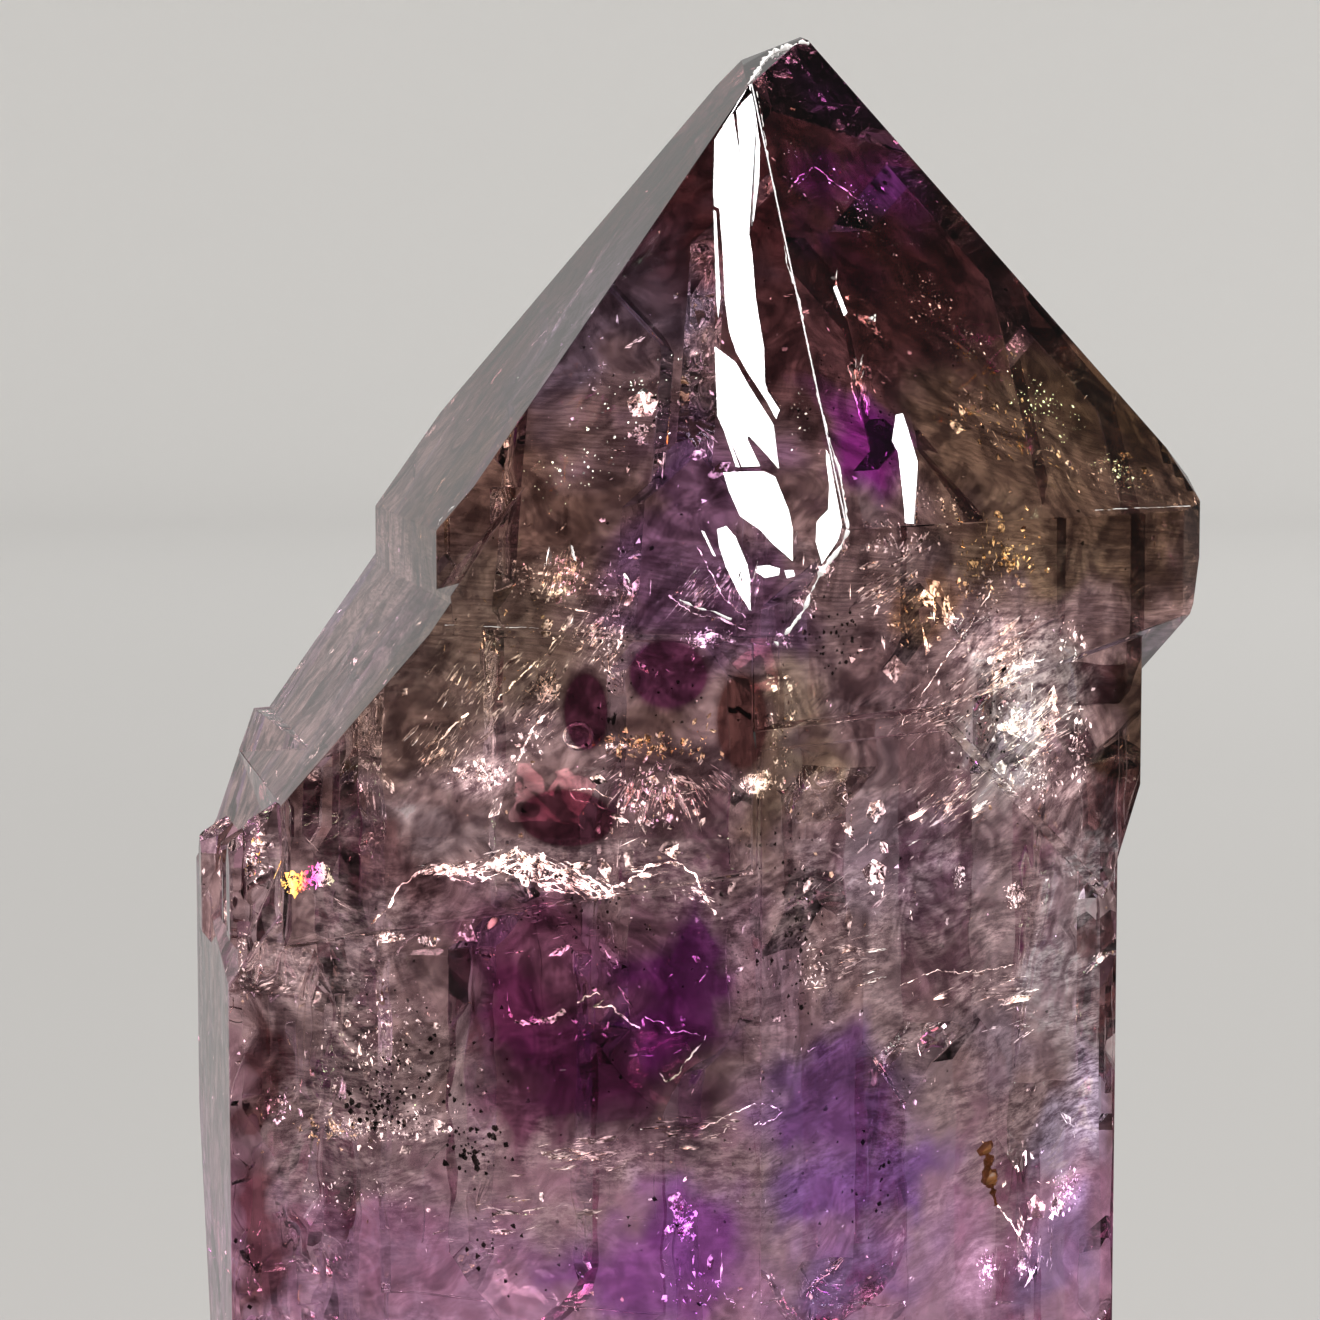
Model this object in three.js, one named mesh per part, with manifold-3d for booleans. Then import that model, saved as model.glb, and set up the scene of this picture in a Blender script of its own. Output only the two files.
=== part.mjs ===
// An elestial amethyst: one quartz point that grew in stages. A broad cap overhangs the stem on
// the right, a lower shoulder steps down to the left, and the back is crowded with small points.
// Lengths are millimetres and angles degrees. +Z is up and the side in the photograph faces -Y.
// Every face of quartz has a fixed direction, so the crystal is a union of blocks. Each block is
// bounded by up to six upright faces and six tip faces, at that block's own distances.
import * as THREE from 'three';
import { ConvexGeometry } from 'three/addons/geometries/ConvexGeometry.js';
import { mergeVertices } from 'three/addons/utils/BufferGeometryUtils.js';
import Module from 'manifold-3d';

const wasm = await Module();
wasm.setup();

// Directions of the faces
const HEADING = -18.27;   // where the broad front face looks, counted from straight ahead
const TIP_RISE = 38.2;    // how far a tip face looks up from level
const TURN = 60;          // from each face to the next
const SIDES = { front: 0, right: 1, backRight: 2, back: 3, backLeft: 4, left: 5 };

// Distances of the faces from the axis, for the upright ones, and from the axis's foot
const CAP = {
  upright: { front: 12.0, right: 13.53, backRight: 21.9, back: 15.0, backLeft: 17.26, left: 9.35 },
  tip: { front: 35.49, right: 39.03, backRight: 46.37, back: 47.9, backLeft: 44.18, left: 35.5 },
};
const SHOULDER = {
  upright: { front: 12.04, right: 12.7, backRight: 17.6, back: 14.7, backLeft: 18.91, left: 15.5 },
  tip: { front: 35.36, right: 38.5, backRight: 44.0, back: 45.2, backLeft: 41.7, left: 33.95 },
};
const NECK = {
  upright: { front: 11.74, right: 13.19, backRight: 18.97, back: 14.3, backLeft: 15, left: 10 },
};
const STEM = {
  upright: { front: 11.86, right: 12.87, backRight: 17.98, back: 14.4, backLeft: 18.78, left: 17.46 },
};
const COLLAR_LEFT = 16.6;   // the upright face between the shoulder and the stem's left face
const STEM_TOP = 38;        // the stem ends inside the cap
const NECK_TOP = 42;
const SHOULDER_FOOT = 12;   // the shoulder ends inside the stem
const COLLAR_FOOT = 20;
const CAP_FOOT = 33.5;

// A face is a direction and a distance from the axis's foot; the crystal lies behind it.
function face(heading, rise, distance) {
  const h = THREE.MathUtils.degToRad(heading);
  const r = THREE.MathUtils.degToRad(rise);
  const out = new THREE.Vector3(Math.sin(h) * Math.cos(r), -Math.cos(h) * Math.cos(r), Math.sin(r));
  return { out, distance };
}

// The same face, given by a point that it passes through.
function faceThrough(heading, rise, point) {
  const made = face(heading, rise, 0);
  made.distance = made.out.dot(new THREE.Vector3(...point));
  return made;
}

function headingOf(side) {
  return HEADING + TURN * SIDES[side];
}

function uprightFaces(distances) {
  return Object.entries(distances).map(([side, distance]) => face(headingOf(side), 0, distance));
}

function tipFaces(distances) {
  return Object.entries(distances).map(([side, distance]) => face(headingOf(side), TIP_RISE, distance));
}

function lid(height) {
  return face(0, 90, height);
}

function floor(height) {
  return face(0, -90, -height);
}

// Turns a closed three.js geometry into a solid that can be joined and cut.
function solidOf(geometry) {
  geometry.deleteAttribute('normal');
  geometry.deleteAttribute('uv');
  const merged = mergeVertices(geometry, 1e-5);
  return new wasm.Manifold(new wasm.Mesh({
    numProp: 3,
    vertProperties: new Float32Array(merged.attributes.position.array),
    triVerts: new Uint32Array(merged.index.array),
  }));
}

function cornerOf(a, b, c) {
  const across = new THREE.Vector3().crossVectors(b.out, c.out);
  const volume = a.out.dot(across);
  if (Math.abs(volume) < 1e-6) return null;
  const corner = across.multiplyScalar(a.distance);
  corner.addScaledVector(new THREE.Vector3().crossVectors(c.out, a.out), b.distance);
  corner.addScaledVector(new THREE.Vector3().crossVectors(a.out, b.out), c.distance);
  return corner.divideScalar(volume);
}

// The convex solid behind all the faces: its corners are where three faces meet and none cuts off.
function block(faces) {
  const SLACK = 1e-6;
  const corners = [];
  faces.forEach((a, i) => {
    faces.slice(i + 1).forEach((b, j) => {
      faces.slice(i + j + 2).forEach((c) => {
        const corner = cornerOf(a, b, c);
        if (!corner) return;
        const kept = faces.every((other) => other.out.dot(corner) <= other.distance + SLACK);
        const fresh = corners.every((known) => known.distanceTo(corner) > 1e-4);
        if (kept && fresh) corners.push(corner);
      });
    });
  });
  return solidOf(new ConvexGeometry(corners));
}

function joined(solids) {
  return solids.reduce((whole, next) => whole.add(next));
}

// The cap and what is broken from it

// The cap's overhang is rounded below by faces that look down and out to the right.
const OVERHANG = [
  faceThrough(headingOf('backRight'), -10, [22.05, 1.5, 44.0]),
  faceThrough(headingOf('backRight') - 4, -27, [21.3, 1.0, 41.2]),
  faceThrough(headingOf('backRight') - 8, -55, [20.5, 0.6, 39.3]),
  faceThrough(headingOf('right') + 12, -48, [18.6, -2.0, 41.3]),
  faceThrough(headingOf('right'), -66, [13.0, -6.9, 39.2]),
];

// A narrow face trims the corner where the right tip face meets the overhang.
const CORNER_TRIM = faceThrough(76, 35, [20.9, 1.3, 47.6]);
const CORNER_STRIP = faceThrough(52, 0, [21.2, 0.78, 46.0]);

// The tip is chipped: two breaks seen nearly edge on, and a rough one behind.
const APEX_CHIPS = [
  faceThrough(-64, 61, [3.87, 3.34, 63.0]),
  faceThrough(60, 71, [6.4, 7.7, 65.05]),
  faceThrough(150, 40, [6.0, 9.3, 64.7]),
];

function makeCap() {
  const whole = block([
    ...uprightFaces(CAP.upright), ...tipFaces(CAP.tip), ...OVERHANG, ...APEX_CHIPS,
    CORNER_TRIM, CORNER_STRIP, floor(CAP_FOOT),
  ]);
  // Near its lower end the ridge to the left tip face is missing, down to an upright face.
  const RIDGE_GAP = { front: 8.02, tipLeft: 34.1, reach: 30 };
  const gap = block([
    face(headingOf('front') + 180, 0, -RIDGE_GAP.front),
    face(headingOf('left') + 180, -TIP_RISE, -RIDGE_GAP.tipLeft),
    face(headingOf('front'), 0, RIDGE_GAP.reach),
    face(headingOf('left'), TIP_RISE, RIDGE_GAP.reach + RIDGE_GAP.tipLeft),
    face(headingOf('left') + 90, 0, RIDGE_GAP.reach),
    face(headingOf('left') - 90, 0, RIDGE_GAP.reach),
  ]);
  return whole.subtract(gap);
}

// The shoulder, the collar under it and the stem

// These faces slope from the shoulder out to the stem's left face.
const COLLAR_SLOPE = faceThrough(-75.5, 21.1, [-17.8, 9.47, 35.2]);
const STEM_SLOPE = faceThrough(-71.8, 31.9, [-19.49, 7.96, 30.9]);
const STEM_TAPER = faceThrough(-97, -10, [-19.49, 7.96, 20.6]);
const NECK_SLOPES = [
  faceThrough(headingOf('backRight'), -21.6, [19.3, -0.5, 34.6]),
  faceThrough(headingOf('front') + 20, -38, [12.0, -7.0, 37.6]),
];

// The shoulder's lower end shows as a low step that climbs a little to the right.
const SHOULDER_SLOPE = faceThrough(headingOf('front') + 14, -50, [-2, -12, 32.4]);

function makeShoulder() {
  return block([
    ...uprightFaces(SHOULDER.upright), ...tipFaces(SHOULDER.tip), SHOULDER_SLOPE,
    floor(SHOULDER_FOOT),
  ]);
}

function makeCollar() {
  const upright = { ...SHOULDER.upright, left: COLLAR_LEFT, front: 11.8, backLeft: 18.8 };
  return block([...uprightFaces(upright), COLLAR_SLOPE, lid(STEM_TOP - 1), floor(COLLAR_FOOT)]);
}

function makeNeck() {
  return block([...uprightFaces(NECK.upright), ...NECK_SLOPES, lid(NECK_TOP), floor(COLLAR_FOOT)]);
}

function makeStem() {
  return block([...uprightFaces(STEM.upright), STEM_SLOPE, STEM_TAPER, lid(STEM_TOP), floor(0)]);
}

// Small parallel points

// A small point has its own axis, a width, a peak, and a foot that tapers like an upside-down tip.
// Three of its tip faces are larger than the other three, as on most quartz.
function smallPoint({ x, y, width, peak, foot, flat = 1 }) {
  const LESSER = 0.35;
  const faces = Object.keys(SIDES).flatMap((side, i) => {
    const heading = headingOf(side);
    const through = (rise, height) => faceThrough(heading, rise, [x, y, height]);
    const upright = through(0, 0);
    upright.distance += width * (i % 3 === 0 ? flat : 1);
    const top = through(TIP_RISE, peak);
    const bottom = through(-TIP_RISE, foot);
    if (i % 2 === 1) top.distance += width * LESSER;
    if (i % 2 === 0) bottom.distance += width * LESSER;
    return [upright, top, bottom];
  });
  return block([...faces, floor(0)]);
}

// Points at the corner below the left shoulder
const CORNER_POINTS = [
  { x: -14.1, y: -5.9, width: 1.75, peak: 35.4, foot: 29.2 },
  { x: -15.2, y: -5.3, width: 1.35, peak: 34.3, foot: 28.0 },
  { x: -15.9, y: -3.2, width: 1.15, peak: 33.9, foot: 28.6 },
  { x: -15.3, y: -6.3, width: 0.8, peak: 31.0, foot: 26.6 },
  { x: -17.4, y: 1.6, width: 1.1, peak: 33.5, foot: 27.5 },
];

// Large points standing out of the back, each one partly buried in its neighbours
const BACK_POINTS = [
  { x: 7.2, y: 12.4, width: 4.4, peak: 58.0, foot: 37.0, flat: 0.7 },
  { x: -1.2, y: 14.6, width: 4.0, peak: 52.0, foot: 31.0, flat: 0.75 },
  { x: 12.6, y: 10.0, width: 3.6, peak: 51.5, foot: 35.5, flat: 0.8 },
  { x: -6.8, y: 15.6, width: 3.4, peak: 45.0, foot: 24.0, flat: 0.8 },
  { x: 3.6, y: 14.6, width: 3.3, peak: 43.0, foot: 20.0, flat: 0.85 },
  { x: 10.2, y: 12.0, width: 3.2, peak: 38.5, foot: 17.5, flat: 0.9 },
  { x: -12.0, y: 12.4, width: 2.9, peak: 37.0, foot: 17.0, flat: 0.9 },
  { x: -2.4, y: 16.6, width: 2.9, peak: 30.5, foot: 10.0, flat: 0.9 },
  { x: 6.4, y: 14.0, width: 2.7, peak: 25.5, foot: 7.0, flat: 0.9 },
  { x: -8.6, y: 15.2, width: 2.6, peak: 22.0, foot: 4.0, flat: 0.9 },
  { x: 13.4, y: 10.2, width: 2.4, peak: 24.0, foot: 6.0, flat: 0.9 },
  { x: -14.6, y: 9.6, width: 2.0, peak: 27.0, foot: 8.0, flat: 0.9 },
  { x: 17.6, y: 4.9, width: 2.6, peak: 50.5, foot: 41.0, flat: 0.8 },
  { x: 16.4, y: 5.6, width: 2.0, peak: 33.0, foot: 15.0, flat: 0.9 },
];

// Lesser points spread over a back face by the golden ratio, so that no two stand in a row.
// Each row of settings is one face: how far it lies from the axis and the field that it covers.
const CRUSTS = [
  { side: 'back', distance: 14.4, from: -9.5, to: 12.0, low: 5, high: 50, count: 30, size: 1.5 },
  { side: 'backLeft', distance: 18.7, from: -4.5, to: 6.5, low: 5, high: 40, count: 18, size: 1.25 },
  { side: 'backRight', distance: 17.6, from: 3.0, to: 10.5, low: 5, high: 36, count: 12, size: 1.2 },
];
const GOLDEN = (Math.sqrt(5) - 1) / 2;

function crustPoints({ side, distance, from, to, low, high, count, size }) {
  const heading = THREE.MathUtils.degToRad(headingOf(side));
  return Array.from({ length: count }, (_, i) => {
    const share = (i + 0.5) / count;
    const across = from + (to - from) * ((i * GOLDEN) % 1);
    const width = size * (0.75 + 0.5 * ((i * GOLDEN * 3) % 1));
    const peak = low + (high - low) * share + width;
    const depth = distance - width * (0.45 + 0.35 * ((i * GOLDEN * 5) % 1));
    return smallPoint({
      x: Math.sin(heading) * depth + Math.cos(heading) * across,
      y: -Math.cos(heading) * depth + Math.sin(heading) * across,
      width,
      peak,
      foot: peak - width * 4.2,
      flat: 0.95,
    });
  });
}

// No small point may stand out past the crystal's outline as the front shows it.
const FRONT_OUTLINE = [
  face(headingOf('left'), 0, 17.3), face(headingOf('left'), TIP_RISE, 33.8),
  face(headingOf('right'), 0, 12.7), face(headingOf('backRight'), TIP_RISE, 46.2),
  face(headingOf('backLeft'), TIP_RISE, 46.2), face(headingOf('back'), 0, 21),
  face(headingOf('backRight'), 0, 21.3), face(headingOf('backLeft'), 0, 20.6),
  face(headingOf('front'), 0, 11.6),
  COLLAR_SLOPE, STEM_SLOPE, lid(62), floor(0),
];

// Windows: stepped hollows that grow inward where a face's edges outran its middle

// Puts a shape's own plane on a crystal face, with x level along the face and y up its slope.
function placeOnFace(geometry, side, rise, distance) {
  const out = face(headingOf(side), rise, distance);
  const h = THREE.MathUtils.degToRad(headingOf(side));
  const along = new THREE.Vector3(Math.cos(h), Math.sin(h), 0);
  const up = new THREE.Vector3().crossVectors(out.out, along);
  const place = new THREE.Matrix4().makeBasis(along, up, out.out);
  place.setPosition(out.out.clone().multiplyScalar(distance));
  return geometry.applyMatrix4(place);
}

// Each step of a window is a smaller copy of its outline, cut deeper.
function windowIn({ side, rise = 0, distance, at, width, height, lean = 0, steps = 3, drop = 0.4 }) {
  const RISE_ABOVE = 4;
  const outline = [[-0.5, -0.5], [0.5, -0.5], [0.36, 0.2], [0, 0.5], [-0.36, 0.2]];
  return joined(Array.from({ length: steps }, (_, step) => {
    const scale = 1 - step / (steps + 0.6);
    const shape = new THREE.Shape(outline.map(([u, v]) => new THREE.Vector2(
      at[0] + (u * width + v * lean) * scale,
      at[1] + v * height * scale,
    )));
    const depth = RISE_ABOVE + drop * (step + 1);
    const cut = new THREE.ExtrudeGeometry(shape, { depth, bevelEnabled: false });
    cut.translate(0, 0, RISE_ABOVE - depth);
    return solidOf(placeOnFace(cut, side, rise, distance));
  }));
}

const WINDOWS = [
  { side: 'backLeft', rise: TIP_RISE, distance: 44.18, at: [4.2, 31.5], width: 4.2, height: 5.2 },
  { side: 'backLeft', rise: TIP_RISE, distance: 44.18, at: [-3.4, 25.0], width: 3.4, height: 4.0 },
  { side: 'backRight', rise: TIP_RISE, distance: 46.37, at: [5.6, 31.0], width: 3.8, height: 4.6 },
  { side: 'backLeft', distance: 18.78, at: [-1.0, 24.0], width: 3.2, height: 6.5, lean: 0.6 },
  { side: 'backRight', distance: 21.9, at: [4.6, 46.5], width: 3.2, height: 3.6 },
  { side: 'backRight', distance: 17.98, at: [6.2, 23.5], width: 2.8, height: 6.0 },
];

// Everything is one crystal, so it is joined in one solid, and the base is its only flat cut.
function makeCrystal() {
  const growth = joined([makeCap(), makeShoulder(), makeCollar(), makeNeck(), makeStem()]);
  const points = [...BACK_POINTS.map(smallPoint), ...CRUSTS.flatMap(crustPoints)];
  const behind = joined(points).intersect(block(FRONT_OUTLINE));
  const corner = joined(CORNER_POINTS.map(smallPoint));
  const whole = joined([growth, behind, corner]);
  return WINDOWS.reduce((left, each) => left.subtract(windowIn(each)), whole);
}

function geometryOf(solid) {
  const mesh = solid.getMesh();
  const geometry = new THREE.BufferGeometry();
  geometry.setAttribute('position', new THREE.Float32BufferAttribute(mesh.vertProperties, 3));
  geometry.setIndex(Array.from(mesh.triVerts));
  return geometry;
}

const smokyAmethyst = new THREE.MeshStandardMaterial({
  color: '#5a3b63', roughness: 0.08, metalness: 0, transparent: true, opacity: 0.6,
});
const crystal = new THREE.Mesh(geometryOf(makeCrystal()), smokyAmethyst);
crystal.name = 'amethyst_crystal';

// The finished group stands on its cut base, with the middle of its box over the origin.
const specimen = new THREE.Group();
specimen.add(crystal);
const box = new THREE.Box3().setFromObject(crystal);
crystal.position.set(-(box.min.x + box.max.x) / 2, -(box.min.y + box.max.y) / 2, -box.min.z);

export default specimen;
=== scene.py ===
"""A natural smoky amethyst point of elestial habit, standing on its cut base on a pale studio floor."""

import math

import bmesh
import bpy
from mathutils import Matrix, Vector, noise
from mathutils.bvhtree import BVHTree
from mathutils.geometry import delaunay_2d_cdt


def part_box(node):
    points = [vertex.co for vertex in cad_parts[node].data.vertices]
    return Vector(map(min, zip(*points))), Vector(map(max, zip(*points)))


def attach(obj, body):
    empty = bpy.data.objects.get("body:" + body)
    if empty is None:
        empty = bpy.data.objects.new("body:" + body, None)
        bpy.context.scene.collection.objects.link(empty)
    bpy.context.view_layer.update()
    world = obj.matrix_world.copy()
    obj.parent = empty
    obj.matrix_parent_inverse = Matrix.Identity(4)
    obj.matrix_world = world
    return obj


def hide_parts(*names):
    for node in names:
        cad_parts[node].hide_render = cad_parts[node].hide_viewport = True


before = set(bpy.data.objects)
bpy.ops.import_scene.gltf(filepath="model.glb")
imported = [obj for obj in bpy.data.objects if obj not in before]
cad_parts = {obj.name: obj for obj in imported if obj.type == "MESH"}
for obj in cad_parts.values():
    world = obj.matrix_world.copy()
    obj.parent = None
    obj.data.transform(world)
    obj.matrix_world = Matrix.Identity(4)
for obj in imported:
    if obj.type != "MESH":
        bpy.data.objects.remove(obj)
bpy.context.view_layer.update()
MM = 0.001
UP = Vector((0, 0, 1))


# The camera
# The picture was taken close up and a little from above, so the lens stands about four stem
# widths off. The picture's points are used further down to place what shows inside the crystal.
AXIS = Vector((-1.27, -2.767, 0.0)) * MM  # where the crystal's long axis stands on the floor
PICTURE_SIDE = 1320  # points along each side of the picture
POINTS_PER_MM = 25  # at the crystal's axis
AIM = AXIS + Vector((0.2, 0.0, 40.0)) * MM
CAMERA_DISTANCE = 145.5 * MM
CAMERA_RISE = math.radians(5.44)
SENSOR = 36.0

SIGHT = Vector((0, math.cos(CAMERA_RISE), -math.sin(CAMERA_RISE)))
PICTURE_UP = Vector((0, math.sin(CAMERA_RISE), math.cos(CAMERA_RISE)))
EYE = AIM - SIGHT * CAMERA_DISTANCE


def shown(name, data):
    """A new object in the scene, made of this data."""
    thing = bpy.data.objects.new(name, data)
    bpy.context.scene.collection.objects.link(thing)
    return thing


lens = bpy.data.cameras.new("camera")
lens.sensor_width = SENSOR
lens.lens = SENSOR * CAMERA_DISTANCE / (PICTURE_SIDE / POINTS_PER_MM * MM)
lens.clip_start = 10 * MM
camera = shown("camera", lens)
camera.location = EYE
camera.rotation_euler = SIGHT.to_track_quat("-Z", "Y").to_euler()
bpy.context.scene.camera = camera


def sight_to(point):
    """The direction from the eye through a point of the picture, given as (across, down)."""
    across = (point[0] - PICTURE_SIDE / 2) / POINTS_PER_MM * MM
    up = (PICTURE_SIDE / 2 - point[1]) / POINTS_PER_MM * MM
    return (SIGHT * CAMERA_DISTANCE + Vector((across, 0, 0)) + PICTURE_UP * up).normalized()


# The crystal itself
# One quartz crystal: a broad six-sided tip over a neck and a six-sided stem, with small points
# crowded on its back. It grew as one piece, was never polished, and is cut flat below.
WELD = 0.001 * MM
FLAT = math.radians(0.4)  # faces that meet at less than this are one face
ALIKE = math.radians(1)
SHARP = math.radians(17)  # edges above this angle get a worn edge
LONG_EDGE = 1.6 * MM
EDGE_WEAR = 0.03 * MM
FRONT_GRAIN = 0.75 * MM  # the mesh is this fine in front, to carry the zones of colour
BACK_GRAIN = 3.0 * MM
HALVINGS = 7


def outward(heading, rise):
    """The direction that a face looks in. Heading 0 is to the front, and grows to the right."""
    heading = math.radians(heading)
    rise = math.radians(rise)
    level = Vector((math.sin(heading), -math.cos(heading), 0))
    return level * math.cos(rise) + UP * math.sin(rise)


FRONT_HEADING = -18.27
TIP_RISE = 38.2
LEFT_TIP_FACE = outward(FRONT_HEADING, TIP_RISE)
RIGHT_TIP_FACE = outward(FRONT_HEADING + 60, TIP_RISE)
LEFT_LEAN = UP.cross(LEFT_TIP_FACE).normalized()
RIGHT_LEAN = -UP.cross(RIGHT_TIP_FACE).normalized()
GLINT_TILT = math.radians(3)
GLINT_STEP = 0.012 * MM

# Facets of the tip that mirror a light, each as the points of its outline in the picture.
LEFT_GLINTS = (
    (
        (750.5, 91.5), (741, 102), (736, 109), (740, 158), (733, 112), (714.5, 139), (713, 191),
        (714, 206), (719, 208), (722, 250), (724, 298), (728, 328), (736, 352), (748, 373),
        (766, 400), (776, 419), (781, 407), (765, 383), (764, 348), (756, 300), (752, 252),
        (749, 233), (756, 122), (751, 228), (754, 218), (759, 181), (760, 145), (755, 110),
        (752, 95),
    ),
    ((713.5, 210), (716, 211), (718, 250), (720.5, 298), (718, 320), (716, 300), (714.5, 250)),
    (
        (714.5, 346), (735, 360), (747, 381), (773, 421), (779, 469), (765, 453), (749, 436),
        (747, 437), (761, 466), (742, 467), (730, 440), (729, 438), (740, 467), (736, 467),
        (724, 431), (717, 415),
    ),
    (
        (723, 472), (742, 470), (763, 468.5), (774, 473), (788, 507), (793, 530), (792.5, 561),
        (772, 543), (760, 530), (740, 516), (729, 491),
    ),
    (
        (717, 529), (726, 525), (735, 535), (747, 563), (750, 578), (750.5, 611), (738, 592),
        (726, 567), (719, 546),
    ),
    ((701, 530), (704, 531), (716, 556), (713.5, 556)),
    ((757, 566), (768, 564), (780, 567), (779, 575), (765, 578), (756, 572)),
    ((784, 570), (793, 569), (795, 576), (787, 578)),
    (
        (826, 449), (829, 454), (835, 487), (842, 525), (838, 540), (822, 564), (815.5, 541),
        (816.5, 521), (828, 508), (829, 484), (826, 461),
    ),
)
RIGHT_GLINTS = (
    (
        (896, 414), (903, 413), (908, 427), (919, 461), (917, 524), (905, 523), (904, 505),
        (898, 452), (892, 441),
    ),
    ((833, 287), (837, 285), (848, 312), (844, 316)),
)


SORTING = Vector((1.0, 1.37, 1.93))


def settle(mesh):
    """Puts the mesh's parts in a fixed order, so that every run makes the same crystal."""
    mesh.verts.sort(key=lambda v: v.co.dot(SORTING))
    mesh.edges.sort(key=lambda e: (e.verts[0].co + e.verts[1].co).dot(SORTING))
    mesh.faces.sort(key=lambda f: f.calc_center_median().dot(SORTING))
    data = bpy.data.meshes.new("settled")
    mesh.to_mesh(data)
    mesh.clear()
    mesh.from_mesh(data)
    bpy.data.meshes.remove(data)


def carve_glints(mesh, normal, outlines, lean):
    """Cuts facets with these outlines into the widest face that looks this way, and leans each."""
    settle(mesh)
    face = max(
        (f for f in mesh.faces if f.normal.angle(normal, math.pi) < ALIKE),
        key=lambda f: f.calc_area(),
    )
    origin = face.verts[0].co.copy()
    across = UP.cross(normal).normalized()
    up = normal.cross(across)
    flat = [Vector(((v.co - origin).dot(across), (v.co - origin).dot(up))) for v in face.verts]
    corners = list(face.verts)
    loops = [list(range(len(flat)))]
    for outline in outlines:
        start = len(flat)
        for point in outline:
            sight = sight_to(point)
            reach = (origin - EYE).dot(normal) / sight.dot(normal)
            place = EYE + sight * reach - origin
            flat.append(Vector((place.dot(across), place.dot(up))))
        turn = sum(a.cross(b) for a, b in zip(flat[start:], flat[start + 1 :] + [flat[start]]))
        loop = list(range(start, len(flat)))
        loops.append(loop if turn > 0 else loop[::-1])
    made, _, triangles, from_corners, _, from_loops = delaunay_2d_cdt(flat, [], loops, 1, 1e-9)
    verts = []
    for place, sources in zip(made, from_corners):
        kept = [corners[i] for i in sources if i < len(corners)]
        spot = origin + across * place.x + up * place.y
        verts.append(kept[0] if kept else mesh.verts.new(spot))
    bmesh.ops.delete(mesh, geom=[face], context="FACES_ONLY")
    facets = [[] for _ in outlines]
    for triangle, sources in zip(triangles, from_loops):
        piece = mesh.faces.new([verts[i] for i in triangle])
        for source in sources:
            if source > 0:
                facets[source - 1].append(piece)
    mesh.normal_update()
    for facet in facets:
        sunk = bmesh.ops.extrude_face_region(mesh, geom=facet)["geom"]
        floor = [v for v in sunk if isinstance(v, bmesh.types.BMVert)]
        bmesh.ops.delete(mesh, geom=facet, context="FACES")
        low = min(v.co.dot(lean) for v in floor)
        for v in floor:
            v.co -= normal * (GLINT_STEP + (v.co.dot(lean) - low) * math.tan(GLINT_TILT))


def refine(mesh):
    """Halves the edges that are longer than the grain where they lie, a few times over."""
    settle(mesh)
    bmesh.ops.triangulate(mesh, faces=mesh.faces)
    for _ in range(HALVINGS):
        settle(mesh)
        coarse = []
        for edge in mesh.edges:
            in_front = min(v.co.y for v in edge.verts) < 0
            if edge.calc_length() > (FRONT_GRAIN if in_front else BACK_GRAIN):
                coarse.append(edge)
        bmesh.ops.subdivide_edges(mesh, edges=coarse, cuts=1)
        bmesh.ops.triangulate(mesh, faces=[f for f in mesh.faces if len(f.verts) > 3])


quartz_mesh = bmesh.new()
quartz_mesh.from_mesh(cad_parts["amethyst_crystal"].data)
bmesh.ops.remove_doubles(quartz_mesh, verts=quartz_mesh.verts, dist=WELD)
bmesh.ops.dissolve_limit(
    quartz_mesh, angle_limit=FLAT, verts=quartz_mesh.verts, edges=quartz_mesh.edges
)
quartz_mesh.normal_update()
worn = [
    e
    for e in quartz_mesh.edges
    if e.is_manifold and e.calc_face_angle(0) > SHARP and e.calc_length() > LONG_EDGE
]
bmesh.ops.bevel(
    quartz_mesh, geom=worn, offset=EDGE_WEAR, offset_type="OFFSET", segments=1,
    profile=0.5, affect="EDGES", clamp_overlap=False,
)
quartz_mesh.normal_update()
carve_glints(quartz_mesh, LEFT_TIP_FACE, LEFT_GLINTS, LEFT_LEAN)
carve_glints(quartz_mesh, RIGHT_TIP_FACE, RIGHT_GLINTS, RIGHT_LEAN)
bmesh.ops.recalc_face_normals(quartz_mesh, faces=quartz_mesh.faces)
refine(quartz_mesh)
quartz_data = bpy.data.meshes.new("quartz_point")
quartz_mesh.to_mesh(quartz_data)
quartz_mesh.free()
crystal = shown("quartz_point", quartz_data)


class Wire:
    """One output of a node. Sums on it add the nodes that work them out."""

    def __init__(self, sheet, socket):
        self.sheet = sheet
        self.socket = socket

    def _sum(self, operation, *terms):
        wires = [t for t in terms if isinstance(t, Wire)]
        plain = all(w.socket.type in ("VALUE", "INT") for w in wires)
        if plain and not any(isinstance(t, tuple) for t in terms):
            return self.sheet.node("ShaderNodeMath", {"operation": operation}, terms)
        terms = [(t, t, t) if isinstance(t, (int, float)) else t for t in terms]
        return self.sheet.node("ShaderNodeVectorMath", {"operation": operation}, terms)

    def __add__(self, other):
        return self._sum("ADD", self, other)

    __radd__ = __add__

    def __sub__(self, other):
        return self._sum("SUBTRACT", self, other)

    def __rsub__(self, other):
        return self._sum("SUBTRACT", other, self)

    def __mul__(self, other):
        return self._sum("MULTIPLY", self, other)

    __rmul__ = __mul__

    def __pow__(self, other):
        return self._sum("POWER", self, other)


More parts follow.
